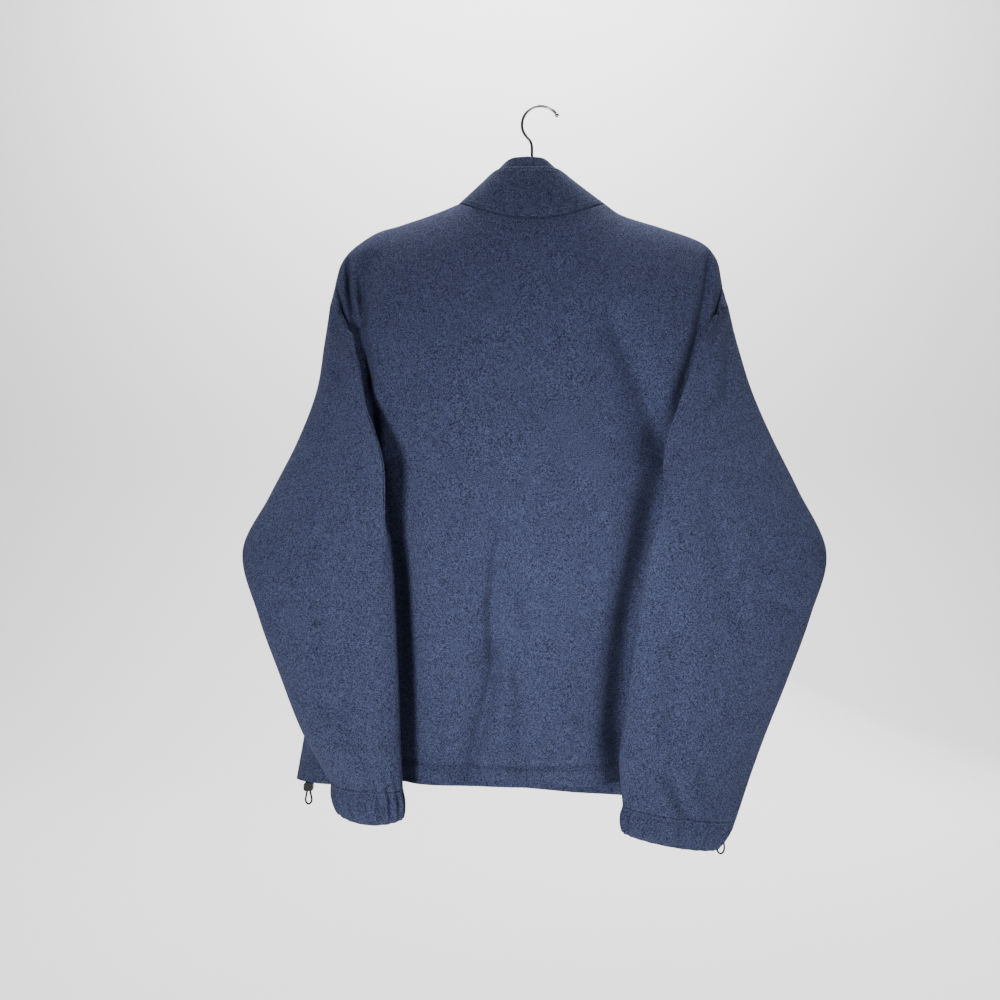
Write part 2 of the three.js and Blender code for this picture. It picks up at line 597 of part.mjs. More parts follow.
// Zip tapes: strips behind the edges of the fronts, and strips that stand out from the collar's front ends
const FRONT_ROWS = STEPS.side + STEPS.armhole;
const COLLAR_ROWS = 4;
const middleShare = shareAcross(NECK.x);
const TOP_WIDTH = TOP.left - TOP.right;
const rowsOf = (count, make) => grid(Array.from({ length: count + 1 }, (_, j) => make(j)));
for (const side of ["left", "right"]) {
  const { sign } = SIDES[side];
  const offs = [ZIP.chainHalf + SEAM_GAP, ZIP.halfGap, ZIP.halfGap + 4, ZIP.tape];
  const low = rowsOf(FRONT_ROWS - 1, (j) =>
    offs.map((off) => bodyPoint(middleShare - (sign * off) / TOP_WIDTH, j, false)),
  );
  add("zip_tape_" + side, wall(low, normalsOf(low, side === "right"), ZIP.tapeThick, -CLOTH - LAYER_GAP), TAPE);
  const high = rowsOf(COLLAR_ROWS, (j) => {
    const up = 0.12 + (0.66 * j) / COLLAR_ROWS;
    const end = collarPoint(-sign, up);
    const along = end.clone().sub(collarPoint(-sign * 0.97, up)).normalize();
    return [-0.4, 2.5, ZIP.collarTape].map((off) => end.clone().addScaledVector(along, off));
  });
  add("zip_end_" + side, wall(high, normalsOf(high, side === "right"), ZIP.collarTapeThick, -0.6), TAPE);
}

// The joined chain, from the stop at the hem to the slider below the neck
const CHAIN_ROWS = { stop: 1, from: 2, to: FRONT_ROWS - 3 };
const chain = grid(
  Array.from({ length: CHAIN_ROWS.to - CHAIN_ROWS.from + 1 }, (_, j) =>
    [-ZIP.chainHalf, 0, ZIP.chainHalf].map((off) => bodyPoint(middleShare - off / TOP_WIDTH, CHAIN_ROWS.from + j, false)),
  ),
);
const CHAIN_LIFT = -CLOTH + 0.6;
add("zip_chain", wall(chain, normalsOf(chain, false), ZIP.chainThick, CHAIN_LIFT), TAPE);

// A box with its edges cut off, as wide, high and deep as given, about the origin
function cutBox(width, height, deep, cut) {
  const w = width / 2 - cut;
  const h = height / 2 - cut;
  const shape = new THREE.Shape([
    new THREE.Vector2(-w, -h - cut),
    new THREE.Vector2(w, -h - cut),
    new THREE.Vector2(w + cut, -h),
    new THREE.Vector2(w + cut, h),
    new THREE.Vector2(w, h + cut),
    new THREE.Vector2(-w, h + cut),
    new THREE.Vector2(-w - cut, h),
    new THREE.Vector2(-w - cut, -h),
  ]);
  const box = new THREE.ExtrudeGeometry(shape, { depth: deep, bevelEnabled: false });
  return box.translate(0, 0, -deep / 2).rotateX(Math.PI / 2);
}

// Solid arithmetic for the small hard pieces
const wasm = await Module();
wasm.setup();
function solid(geometry) {
  const merged = mergeVertices(new THREE.BufferGeometry().setAttribute("position", open(geometry)), 1e-4);
  return new wasm.Manifold(
    new wasm.Mesh({
      numProp: 3,
      vertProperties: merged.attributes.position.array,
      triVerts: new Uint32Array(merged.index.array),
    }),
  );
}
function open(geometry) {
  return (geometry.index ? geometry.toNonIndexed() : geometry).getAttribute("position");
}
function fromSolid(made) {
  const mesh = made.getMesh();
  const count = mesh.numProp;
  const flat = new Float32Array(mesh.numVert * 3);
  for (let i = 0; i < mesh.numVert; i += 1) flat.set(mesh.vertProperties.subarray(i * count, i * count + 3), i * 3);
  const geometry = new THREE.BufferGeometry().setAttribute("position", new THREE.BufferAttribute(flat, 3));
  geometry.setIndex(new THREE.BufferAttribute(mesh.triVerts, 1));
  return geometry.toNonIndexed();
}
const rod = (radius, length, sides) => new THREE.CylinderGeometry(radius, radius, length, sides).rotateZ(Math.PI / 2);

// Slider over the chain's upper end, with two lugs and a pin that the pull tab hangs from
const sliderAt = bodyPoint(middleShare, CHAIN_ROWS.to + 0.45, false);
const PIN = { radius: 0.9, hole: 1.35, out: 3.1, up: 3, gap: 0.5 };
const face = -SLIDER.thick / 2;
const lugX = PULL.eye / 2 + PIN.gap + SLIDER.lug / 2;
const lug = (sign) =>
  solid(cutBox(SLIDER.lug, 5, PIN.out + 1.6, 0.3).translate(sign * lugX, face - (PIN.out + 1.6) / 2 + 0.4, PIN.up));
const slider = solid(cutBox(SLIDER.width, SLIDER.height, SLIDER.thick, 1.6))
  .add(lug(1))
  .add(lug(-1))
  .add(solid(rod(PIN.radius, 2 * lugX, 12).translate(0, face - PIN.out, PIN.up)));
const sliderPlace = sliderAt.clone().add(V(0, -1.3, 0));
add("zip_slider", fromSolid(slider), STEEL, sliderPlace);
const pull = solid(rod(PULL.round, PULL.eye, 20))
  .add(solid(cutBox(PULL.eye, 3, PULL.thick, 0.3).translate(0, 0, -PULL.below - 0.3)))
  .add(solid(cutBox(PULL.width, PULL.height, PULL.thick, 1.8).translate(0, 0, -PULL.height / 2 - PULL.below)))
  .subtract(solid(rod(PIN.hole, PULL.width + 2, 16)));
add("zip_pull", fromSolid(pull), STEEL, sliderPlace.clone().add(V(0, face - PIN.out, PIN.up)));

// Retaining box at the zip's lower end
const stopAt = bodyPoint(middleShare, CHAIN_ROWS.stop + 0.35, false);
add("zip_stop", cutBox(SLIDER.width, 9, 3.4, 1), STEEL, stopAt.add(V(0, 0.6, 0)));

// Hanger: sections along the shoulders, each a rounded bar under the cloth
function shoulderTop(x) {
  const off = (x - NECK.x) / NECK.halfWidth;
  if (Math.abs(off) >= 1) return topEdge(shareAcross(x), true).z;
  return NECK.z + (HANGER.crownZ - NECK.z) * Math.cos((off * Math.PI) / 2) ** 2;
}
function hangerGeometry() {
  const ends = ["left", "right"].map((side) => {
    const neckX = NECK.x + SIDES[side].sign * NECK.halfWidth;
    return lerp(neckX, SIDES[side].shoulderX, HANGER.span);
  });
  const points = [];
  const index = [];
  const sides = 12;
  const sections = 30;
  for (let j = 0; j <= sections; j += 1) {
    const way = (1 - Math.cos((Math.PI * j) / sections)) / 2;
    const x = lerp(ends[0], ends[1], way);
    const end = Math.sqrt(1 - (1 - Math.min(way, 1 - way, 0.03) / 0.03) ** 2) * 0.9 + 0.1;
    const deep = lerp(HANGER.endDeep, HANGER.middleDeep, Math.sin(Math.PI * way)) * end;
    const below = Math.abs(x - NECK.x) < NECK.halfWidth ? 0 : 1;
    const top = shoulderTop(x) - (CLOTH + HANGER.clear + 4.4) * below - 5.5 * (1 - below);
    const full = lerp(HANGER.endDeep, HANGER.middleDeep, Math.sin(Math.PI * way));
    for (let i = 0; i < sides; i += 1) {
      const a = (2 * Math.PI * i) / sides;
      const square = (v) => Math.sign(v) * Math.abs(v) ** 0.75;
      points.push(V(x, (HANGER.thick / 2) * end * square(Math.cos(a)), top - full / 2 + (deep / 2) * square(Math.sin(a))));
    }
  }
  for (let j = 0; j < sections; j += 1) {
    for (let i = 0; i < sides; i += 1) {
      const n = (i + 1) % sides;
      const [a, b, c, d] = [j * sides + i, j * sides + n, (j + 1) * sides + n, (j + 1) * sides + i];
      index.push(a, b, c, a, c, d);
    }
  }
  for (let i = 1; i < sides - 1; i += 1) {
    index.push(0, i + 1, i, sections * sides, sections * sides + i, sections * sides + i + 1);
  }
  return facingOut(points, index);
}
add("hanger", hangerGeometry(), WOOD);

// A round rod along a path in a plane of equal y. The radius follows the share of the path's length.
function rodAlong(path, radiusAt, sides, closed = false) {
  const points = [];
  const index = [];
  const count = path.length;
  path.forEach((p, j) => {
    const before = path[closed ? (j + count - 1) % count : Math.max(j - 1, 0)];
    const after = path[closed ? (j + 1) % count : Math.min(j + 1, count - 1)];
    const along = after.clone().sub(before).normalize();
    const flat = along.clone().cross(V(0, 1, 0));
    for (let i = 0; i < sides; i += 1) {
      const a = (2 * Math.PI * i) / sides;
      const radius = radiusAt(j);
      points.push(p.clone().addScaledVector(flat, radius * Math.cos(a)).add(V(0, radius * Math.sin(a), 0)));
    }
  });
  const last = closed ? count : count - 1;
  for (let j = 0; j < last; j += 1) {
    for (let i = 0; i < sides; i += 1) {
      const n = (i + 1) % sides;
      const m = (j + 1) % count;
      const [a, b, c, d] = [j * sides + i, j * sides + n, m * sides + n, m * sides + i];
      index.push(a, b, c, a, c, d);
    }
  }
  if (!closed) {
    for (let i = 1; i < sides - 1; i += 1) {
      index.push(0, i + 1, i, last * sides, last * sides + i, last * sides + i + 1);
    }
  }
  return facingOut(points, index);
}

// Hook: a ball at its free end, the bow, and an S bend into the stem
const bowTop = HOOK.bow - HOOK.wire; // from the bow's centre up to where it hangs
const hookPath = [];
const radii = [];
for (let i = 0; i <= 5; i += 1) {
  const turn = (2.62 + 0.115 * (1 - i / 5)) * 1;
  hookPath.push(V(HOOK.bow * Math.cos(turn), 0, HOOK.bow * Math.sin(turn) - bowTop));
  radii.push(Math.max(HOOK.ball * Math.sin((Math.PI * (i + 0.6)) / 6.4), i > 3 ? HOOK.wire : 0.6));
}
for (let i = 1; i <= 22; i += 1) {
  const turn = lerp(2.6, -0.45, i / 22);
  hookPath.push(V(HOOK.bow * Math.cos(turn), 0, HOOK.bow * Math.sin(turn) - bowTop));
}
const bend = new THREE.CubicBezierCurve3(
  hookPath[hookPath.length - 1],
  V(15.6, 0, -39.5),
  V(HOOK.stemX, 0, -38),
  V(HOOK.stemX, 0, HOOK.bendZ),
);
hookPath.push(...bend.getPoints(7).slice(1), V(HOOK.stemX, 0, -80), V(HOOK.stemX, 0, HOOK.footZ));
add("hanger_hook", rodAlong(hookPath, (j) => radii[j] ?? HOOK.wire, 12), STEEL);

// Drawcord loops and their cord locks
function loopGeometry({ loop, long }) {
  const half = loop / 2;
  const path = [V(CORD_APART, 0, -SEAM_GAP)];
  for (let i = 0; i <= 16; i += 1) {
    const turn = Math.PI * (i / 16);
    path.push(V(half * Math.cos(turn) * 0.62, 0, half - long - half * Math.sin(turn)));
  }
  path.push(V(-CORD_APART, 0, -SEAM_GAP));
  return rodAlong(path, () => CORD, 8);
}
for (const side of ["left", "right"]) {
  const lock = LOCKS[side];
  const ends = [-LOCK_SHARE, LOCK_SHARE].map((off) => bodyPoint(clamp(lock.share + off, 0, 1), 0, true).z);
  const hem = bodyPoint(lock.share, 0, true).add(V(0, -CLOTH / 2, 0)).setZ(Math.min(...ends) - LAYER_GAP);
  add("lock_" + side, cutBox(LOCK.width, LOCK.height, LOCK.deep, LOCK.cut), BLACK, hem.clone().add(V(0, 0, -LOCK.height / 2)));
  add("cord_" + side, loopGeometry(lock), BLACK, hem.clone().add(V(0, 0, -LOCK.height)));
}

export default jacket;
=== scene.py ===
"""Fleece zip jacket on a hanger, seen from behind.

Sizes are in millimetres unless a comment says metres, and points become metres when a mesh is made.
"""

import math

import bmesh
import bpy
from mathutils import Matrix, Vector, noise


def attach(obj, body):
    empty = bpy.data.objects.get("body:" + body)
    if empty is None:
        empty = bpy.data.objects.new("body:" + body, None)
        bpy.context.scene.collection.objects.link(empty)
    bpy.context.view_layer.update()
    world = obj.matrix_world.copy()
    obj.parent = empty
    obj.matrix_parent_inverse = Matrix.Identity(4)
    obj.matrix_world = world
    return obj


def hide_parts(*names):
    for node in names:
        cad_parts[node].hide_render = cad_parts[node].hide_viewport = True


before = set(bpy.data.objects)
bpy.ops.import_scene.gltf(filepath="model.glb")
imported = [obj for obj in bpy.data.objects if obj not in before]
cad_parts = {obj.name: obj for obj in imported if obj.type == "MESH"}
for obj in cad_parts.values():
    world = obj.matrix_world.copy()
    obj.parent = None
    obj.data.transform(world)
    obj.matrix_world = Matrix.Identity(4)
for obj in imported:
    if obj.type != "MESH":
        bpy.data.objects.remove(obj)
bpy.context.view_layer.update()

MM = 0.001
CLOTH = 2.4  # wall of the fleece

# Camera: where the photo was taken from, looking level at the jacket's back
EYE = (49, 1200, -471)
LENS = SENSOR = 36  # so a picture is as wide as its distance from the eye

NECK = dict(x=11, half=88, z=-117, back_drop=27, front_drop=78, back_y=48, front_y=-50, front_dip=1.4)
SIDES = {
    "left": dict(
        sign=1, shoulder_x=246.5, shoulder_z=-214, under_x=232, under_z=-462, hem_x=293, hem_z=-805
    ),
    "right": dict(
        sign=-1, shoulder_x=-217.6, shoulder_z=-216, under_x=-207, under_z=-466, hem_x=-220, hem_z=-832
    ),
}
ARMHOLE = dict(back=26, front=26, scoop=20)
TOP_LEFT, TOP_RIGHT = SIDES["left"]["shoulder_x"], SIDES["right"]["shoulder_x"]
TOP_WIDTH = TOP_LEFT - TOP_RIGHT
NECK_BACK = 0.42  # share of the half neckline that lies behind the neck point
ZIP_HALF_GAP = 4.5  # from the zip's centre line to each front's edge
FRONT_TURN = math.acos(ZIP_HALF_GAP / NECK["half"])


def across_share(x):
    """The share of the way across the shoulders, from the left one, at which x lies."""
    return (x - TOP_LEFT) / (TOP_RIGHT - TOP_LEFT)


MIDDLE = across_share(NECK["x"])


def table(names, *rows):
    """A table with named columns, from its heading and its rows."""
    return [dict(zip(names.split(), row)) for row in rows]


# Outlines and sections: at is the share of the way along, the other columns are places or depths there.
DROP = "at drop"
SHOULDERS = {
    "left": table(
        DROP, (0, 0), (0.2, 12), (0.48, 26), (0.65, 33.5), (0.8, 47), (0.9, 60), (0.965, 76), (1, 97)
    ),
    "right": table(
        DROP, (0, 0), (0.13, 12.5), (0.45, 27), (0.74, 40.5), (0.86, 49.5), (0.93, 61), (0.97, 74), (1, 99)
    ),
}
HEM = {
    "back": table("at z", (0, -805), (0.25, -797), (0.5, -799), (0.8, -802), (1, -832)),
    "front": table("at z", (0, -805), (0.25, -813), (0.5, -830), (0.8, -841), (1, -832)),
}
BODY = table(
    "at back front square",
    (0, 49, 51, 0.55),
    (0.25, 50, 51, 0.6),
    (0.45, 51, 52, 1.05),
    (0.7, 55, 55, 1.35),
    (1, 59, 57, 1.4),
)
SHOULDER_ROUND = 125
SLEEVES = {
    "left": table(
        "at out_x out_y out_z in_x in_y in_z back front tuck",
        (0.06, 252, 6, -240, 235, 8, -468, 42, 32, 38),
        (0.14, 258, 10, -286, 231, 32, -480, 50, 34, 41),
        (0.24, 266, 16, -342, 197, 58, -494, 46, 30, 41),
        (0.34, 287, 24, -402, 176, 66, -508, 37, 24, 28),
        (0.45, 318, 32, -466, 171, 71, -530, 29, 21, 8),
        (0.56, 348, 38, -530, 168, 75, -560, 27, 21, 0),
        (0.68, 329, 44, -602, 165, 78, -618, 28, 22, 0),
        (0.8, 302, 50, -672, 162, 80, -682, 29, 23, 0),
        (0.91, 274, 56, -738, 160, 80, -745, 29, 24, 0),
        (1, 241, 60, -792, 158, 80, -794, 25, 22, 0),
    ),
    "right": table(
        "at out_x out_y out_z in_x in_y in_z back front tuck",
        (0.06, -224, 6, -242, -210, 8, -472, 42, 32, 50),
        (0.14, -234, 10, -288, -206, 32, -486, 50, 34, 62),
        (0.24, -249, 16, -342, -170, 60, -500, 46, 30, 60),
        (0.34, -270, 24, -396, -124, 72, -516, 37, 24, 36),
        (0.45, -299, 32, -459, -115, 77, -540, 30, 21, 10),
        (0.56, -330, 38, -531, -110, 79, -570, 28, 21, 0),
        (0.68, -310, 44, -604, -101, 80, -632, 29, 22, 0),
        (0.8, -280, 50, -680, -92, 83, -700, 30, 23, 0),
        (0.91, -250, 56, -750, -84, 84, -762, 30, 24, 0),
        (1, -219, 61, -834, -89, 83, -812, 25, 22, 0),
    ),
}
CUFFS = {
    "left": dict(
        out_x=235, out_y=60, out_z=-826, in_x=156, in_y=79, in_z=-827, back=23, front=20, gathers=18, sag=5
    ),
    "right": dict(
        out_x=-200, out_y=60, out_z=-868, in_x=-87, in_y=82, in_z=-842, back=23, front=20, gathers=22, sag=1
    ),
}
COLLAR = table(
    "at side y z",
    (0, 0, 40, -71),
    (0.2, 22, 36, -73),
    (0.42, 38, 8, -80),
    (0.6, 41, -26, -88),
    (0.78, 48, -56, -101),
    (0.9, 44, -74, -114),
    (1, 27, -80, -126),
)
COLLAR_LEAN = 6
COLLAR_LAYERS = 0.9  # clear space between the collar's two layers

# Folds as the photo shows them: straight troughs between two points, seen from behind.
# depth is negative for a ridge.
FOLD = "x1 z1 x2 z2 wide depth"
BACK_FOLDS = table(
    FOLD,
    (46, -500, 56, -640, 24, 5),
    (54, -640, 82, -775, 26, 8),
    (24, -560, 22, -775, 20, 4),
    (-88, -275, -132, -400, 30, 8),
    (-132, -400, -100, -740, 36, 12),
    (176, -430, 146, -770, 32, 11),
    (206, -190, 208, -270, 14, 8),
)
FRONT_FOLDS = table(
    FOLD,
    (96, -420, 118, -760, 26, 8),
    (-60, -450, -78, -790, 24, 8),
    (180, -400, 200, -700, 26, 9),
    (-160, -380, -168, -700, 26, 9),
)
SLEEVE_FOLDS = {
    "left": table(
        FOLD,
        (244, -232, 236, -330, 9, 6),
        (236, -330, 246, -470, 16, 5),
        (252, -500, 244, -640, 18, 4),
        (205, -640, 216, -735, 14, 3),
        (193, -762, 195, -800, 8, 5),
    ),
    "right": table(
        FOLD,
        (-213, -262, -199, -345, 9, -4),
        (-224, -262, -214, -350, 10, 5),
        (-190, -470, -214, -600, 18, 4),
        (-150, -620, -140, -730, 16, 4),
        (-138, -776, -160, -822, 9, 6),
    ),
}
# Finer creases, which only this scene has.
# Each runs through its points, and its width and depth change on the way.
CREASE = "x z wide depth"
BACK_CREASES = [
    table(
        CREASE,
        (231, -182, 4, 3),
        (229, -203, 4, 14),
        (228, -226, 4.5, 17),
        (224, -248, 5, 15),
        (218, -268, 8, 8),
    ),
    table(CREASE, (215, -200, 4.5, 1), (212, -230, 4.5, 12), (209, -262, 6, 10)),
    table(
        CREASE,
        (216, -262, 8, 6),
        (209, -300, 11, 16),
        (206, -331, 12, 20),
        (203, -350, 9, 9),
        (199, -372, 11, 18),
        (196, -405, 10, 16),
        (190, -448, 10, 11),
        (183, -500, 14, 12),
        (178, -560, 22, 20),
        (175, -640, 25, 24),
        (173, -790, 26, 25),
    ),
    table(
        CREASE,
        (-200, -178, 4, 2),
        (-197, -196, 5, 8),
        (-194, -216, 6, 10),
        (-190, -240, 7, 12),
        (-185, -266, 9, 14),
        (-178, -297, 11, 15),
        (-171, -325, 13, 15),
        (-164, -354, 14, 15),
        (-157, -390, 16, 15),
        (-149, -430, 20, 17),
        (-137, -475, 25, 20),
        (-123, -540, 27, 22),
        (-106, -600, 30, 26),
        (-97, -660, 31, 28),
        (-93, -730, 31, 28),
        (-95, -790, 28, 25),
    ),
    table(
        CREASE,
        (-76, -240, 18, 1),
        (-90, -277, 17, 4),
        (-112, -330, 16, 6),
        (-134, -385, 16, 6),
        (-150, -430, 16, 2),
    ),
    table(
        CREASE,
        (47, -506, 8, 1),
        (54, -545, 7, 6),
        (59, -587, 7, 8),
        (57, -631, 8, 9),
        (55, -666, 8, 10),
        (67, -717, 8, 8),
        (80, -765, 8, 7),
        (86, -790, 10, 2.5),
    ),
    table(
        CREASE,
        (29, -542, 6, 1),
        (19, -606, 6, 5.5),
        (27, -643, 7, 2.4),
        (29, -671, 6, 5.5),
        (24, -717, 8, 3),
        (27, -775, 8, 2.4),
    ),
    table(CREASE, (43, -583, 5, 1.2), (10, -578, 6, 1.8), (-18, -571, 7, 0.6)),
    table(CREASE, (116, -680, 6, 0.8), (80, -676, 6, 1.8), (30, -672, 6, 1.2)),
    table(CREASE, (150, -250, 24, 0.5), (158, -290, 26, -3), (168, -330, 24, -0.5)),
    table(CREASE, (92, -440, 20, 0.5), (98, -530, 22, 2.5), (108, -620, 20, 1), (112, -770, 14, 2.4)),
    table(CREASE, (-24, -410, 20, 0.5), (-50, -480, 24, 2.4), (-60, -560, 20, 1), (-46, -720, 17, 2.4)),
    table(CREASE, (-10, -330, 30, 0.4), (30, -338, 32, 1.6), (70, -345, 30, 0.4)),
]
FRONT_CREASES = [
    table(CREASE, (60, -290, 20, 0.6), (74, -335, 22, 2.6), (92, -390, 20, 0.8)),
    table(CREASE, (-48, -280, 22, 0.6), (-66, -335, 24, 3), (-88, -400, 20, 0.8)),
    table(CREASE, (30, -600, 12, 0.6), (34, -680, 12, 2.3), (42, -775, 12, 2.6)),
    table(CREASE, (-24, -540, 12, 0.6), (-20, -640, 12, 2.2), (-12, -780, 11, 2.6)),
    table(CREASE, (138, -500, 16, 0.6), (146, -590, 17, 2.8), (152, -760, 14, 3.4)),
    table(CREASE, (-114, -540, 15, 0.6), (-122, -620, 16, 2.8), (-120, -790, 14, 3.2)),
    table(CREASE, (2, -240, 14, 0.5), (-4, -290, 14, 1.8), (-8, -350, 12, 0.5)),
    table(CREASE, (196, -236, 9, 3), (188, -300, 12, 9), (186, -370, 12, 9), (182, -440, 10, 3)),
    table(CREASE, (-170, -236, 9, 3), (-160, -300, 12, 9), (-160, -370, 12, 9), (-158, -440, 10, 3)),
]
SLEEVE_CREASES = {
    "left": [
        table(
            CREASE,
            (228, -240, 7, 1.5),
            (217, -296, 9, 4),
            (209, -358, 10, 4.5),
            (204, -414, 10, 3.5),
            (196, -500, 9, 1),
        ),
        table(CREASE, (310, -534, 12, 0.5), (284, -548, 13, 2.4), (256, -556, 12, 0.6)),
        table(CREASE, (326, -594, 11, 0.5), (300, -582, 11, 2), (262, -572, 10, 0.5)),
        table(CREASE, (286, -690, 10, 0.5), (256, -696, 11, 2), (226, -702, 9, 1.6), (200, -742, 9, 2.6)),
        table(CREASE, (188, -556, 12, 0.6), (196, -600, 13, 2.4), (206, -648, 12, 0.6)),
        table(CREASE, (264, -372, 10, 0.5), (258, -420, 11, 2.4), (250, -460, 10, 0.5)),
    ],
    "right": [
        table(CREASE, (-290, -526, 12, 0.5), (-262, -542, 13, 2.4), (-234, -550, 12, 0.6)),
        table(CREASE, (-304, -604, 11, 0.5), (-276, -590, 11, 2), (-240, -578, 10, 0.5)),
        table(
            CREASE,
            (-266, -698, 11, 0.5),
            (-236, -708, 11, 2.2),
            (-206, -720, 10, 1.4),
            (-174, -776, 10, 2.6),
        ),
        table(CREASE, (-122, -552, 12, 0.6), (-130, -600, 13, 2.4), (-138, -660, 12, 0.6)),
        table(CREASE, (-172, -344, 11, 0.4), (-204, -353, 12, 1.8), (-236, -364, 11, 0.4)),
    ],
}

CREASE_FALL = 1.6  # how fast a crease fades beside its line, in its own widths
FOLD_REACH = 2.5  # widths beyond which a fold no longer presses
CREASE_REACH = 60  # how far round a crease's points it can press

HEM_STITCH = 24  # from the hem's edge up to its line of stitches
GROOVE = dict(deep=1.5, wide=2.4, proud=0.9, reach=20)  # sunk line of stitches and the fold below it


def lerp(a, b, t):
    return a + (b - a) * t


def clamp(v, lo=0.0, hi=1.0):
    return min(max(v, lo), hi)


def smooth(t):
    t = clamp(t)
    return t * t * (3 - 2 * t)


def column(rows, name, at):
    """The value of a column of a table at a place, on a smooth curve through its rows."""
    last = len(rows) - 1
    i = 0
    while i < last - 1 and at > rows[i + 1]["at"]:
        i += 1

    def slope(k):
        a, b = rows[max(k - 1, 0)], rows[min(k + 1, last)]
        return (b[name] - a[name]) / (b["at"] - a["at"])

    step = rows[i + 1]["at"] - rows[i]["at"]
    t = clamp((at - rows[i]["at"]) / step)
    t2, t3 = t * t, t * t * t
    value = (2 * t3 - 3 * t2 + 1) * rows[i][name] + (t3 - 2 * t2 + t) * step * slope(i)
    return value + (3 * t2 - 2 * t3) * rows[i + 1][name] + (t3 - t2) * step * slope(i + 1)


def fold_depth(folds, x, z):
    """How far the main folds press the cloth in at a place seen from behind."""
    total = 0.0
    for f in folds:
        dx, dz = f["x2"] - f["x1"], f["z2"] - f["z1"]
        t = clamp(((x - f["x1"]) * dx + (z - f["z1"]) * dz) / (dx * dx + dz * dz))
        off = math.hypot(x - f["x1"] - t * dx, z - f["z1"] - t * dz) / f["wide"]
        if off < FOLD_REACH:
            total += f["depth"] * math.exp(-off * off * CREASE_FALL)
    return total


def crease_depth(creases, x, z):
    """How far the fine creases press the cloth in at a place seen from behind."""

    def beside(axis, value, a, b):
        return min(a[axis], b[axis]) - CREASE_REACH < value < max(a[axis], b[axis]) + CREASE_REACH

    total = 0.0
    for points in creases:
        best = 0.0
        for a, b in zip(points, points[1:]):
            if not (beside("x", x, a, b) and beside("z", z, a, b)):
                continue
            dx, dz = b["x"] - a["x"], b["z"] - a["z"]
            t = clamp(((x - a["x"]) * dx + (z - a["z"]) * dz) / (dx * dx + dz * dz))
            off = math.hypot(x - a["x"] - t * dx, z - a["z"] - t * dz) / lerp(a["wide"], b["wide"], t)
            press = lerp(a["depth"], b["depth"], t) * math.exp(-off * off * CREASE_FALL)
            if abs(press) > abs(best):
                best = press
        total += best
    return total


def drape(x, z, seed):
    """Broad, shallow unevenness of hanging cloth."""
    broad = noise.noise(Vector((x / 95, z / 150, seed)))
    fine = noise.noise(Vector((x / 34, z / 60, seed + 7)))
    return 2.2 * broad + 0.8 * fine


def armhole(side, turn):
    """Round the armhole seam: turn is 0 at the shoulder, and positive goes down behind."""
    s = SIDES[side]
    up, out = math.cos(turn), math.sin(turn)
    x = lerp(s["under_x"], s["shoulder_x"], (1 + up) / 2) - s["sign"] * ARMHOLE["scoop"] * out * out
    y = out * (ARMHOLE["back"] if out > 0 else ARMHOLE["front"])
    return Vector((x, y, lerp(s["under_z"], s["shoulder_z"], (1 + up) / 2)))


def side_edge(side, v, back):
    """Up the side seam for v from 0 to 1, then up the armhole for v from 1 to 2."""
    s = SIDES[side]
    if v <= 1:
        return Vector((lerp(s["hem_x"], s["under_x"], v), 0, lerp(s["hem_z"], s["under_z"], v)))
    turn = math.pi * (2 - v)
    return armhole(side, turn if back else -turn)


def neck_seam(x, sunk, back):
    """A point of the neck seam. sunk is 0 at the neck's sides and 1 at its lowest, behind or in front."""
    if back:
        return Vector((x, NECK["back_y"] * sunk, NECK["z"] - NECK["back_drop"] * sunk * sunk))
    return Vector((x, NECK["front_y"] * sunk, NECK["z"] - NECK["front_drop"] * sunk ** NECK["front_dip"]))


def neckline(at):
    """Round the neck seam from one front edge, at -1, past the middle of the back to the other, at 1."""
    share, sign = abs(at), 1 if at < 0 else -1
    if share <= NECK_BACK:
        turn = math.pi / 2 * share / NECK_BACK
        return neck_seam(NECK["x"] + sign * NECK["half"] * math.sin(turn), math.cos(turn), True)
    turn = FRONT_TURN * (share - NECK_BACK) / (1 - NECK_BACK)
    return neck_seam(NECK["x"] + sign * NECK["half"] * math.cos(turn), math.sin(turn), False)


def top_edge(share, back):
    """The upper edge of the body's cloth: a shoulder, the neck and the other shoulder."""
    x = lerp(TOP_LEFT, TOP_RIGHT, share)
    off = (x - NECK["x"]) / NECK["half"]
    if abs(off) < 1:
        return neck_seam(x, math.sqrt(1 - off * off), back)
    side = "left" if off > 0 else "right"
    s = SIDES[side]
    neck_x = NECK["x"] + s["sign"] * NECK["half"]
    out = clamp((x - neck_x) / (s["shoulder_x"] - neck_x))
    return Vector((x, 0, NECK["z"] - column(SHOULDERS[side], "drop", out)))


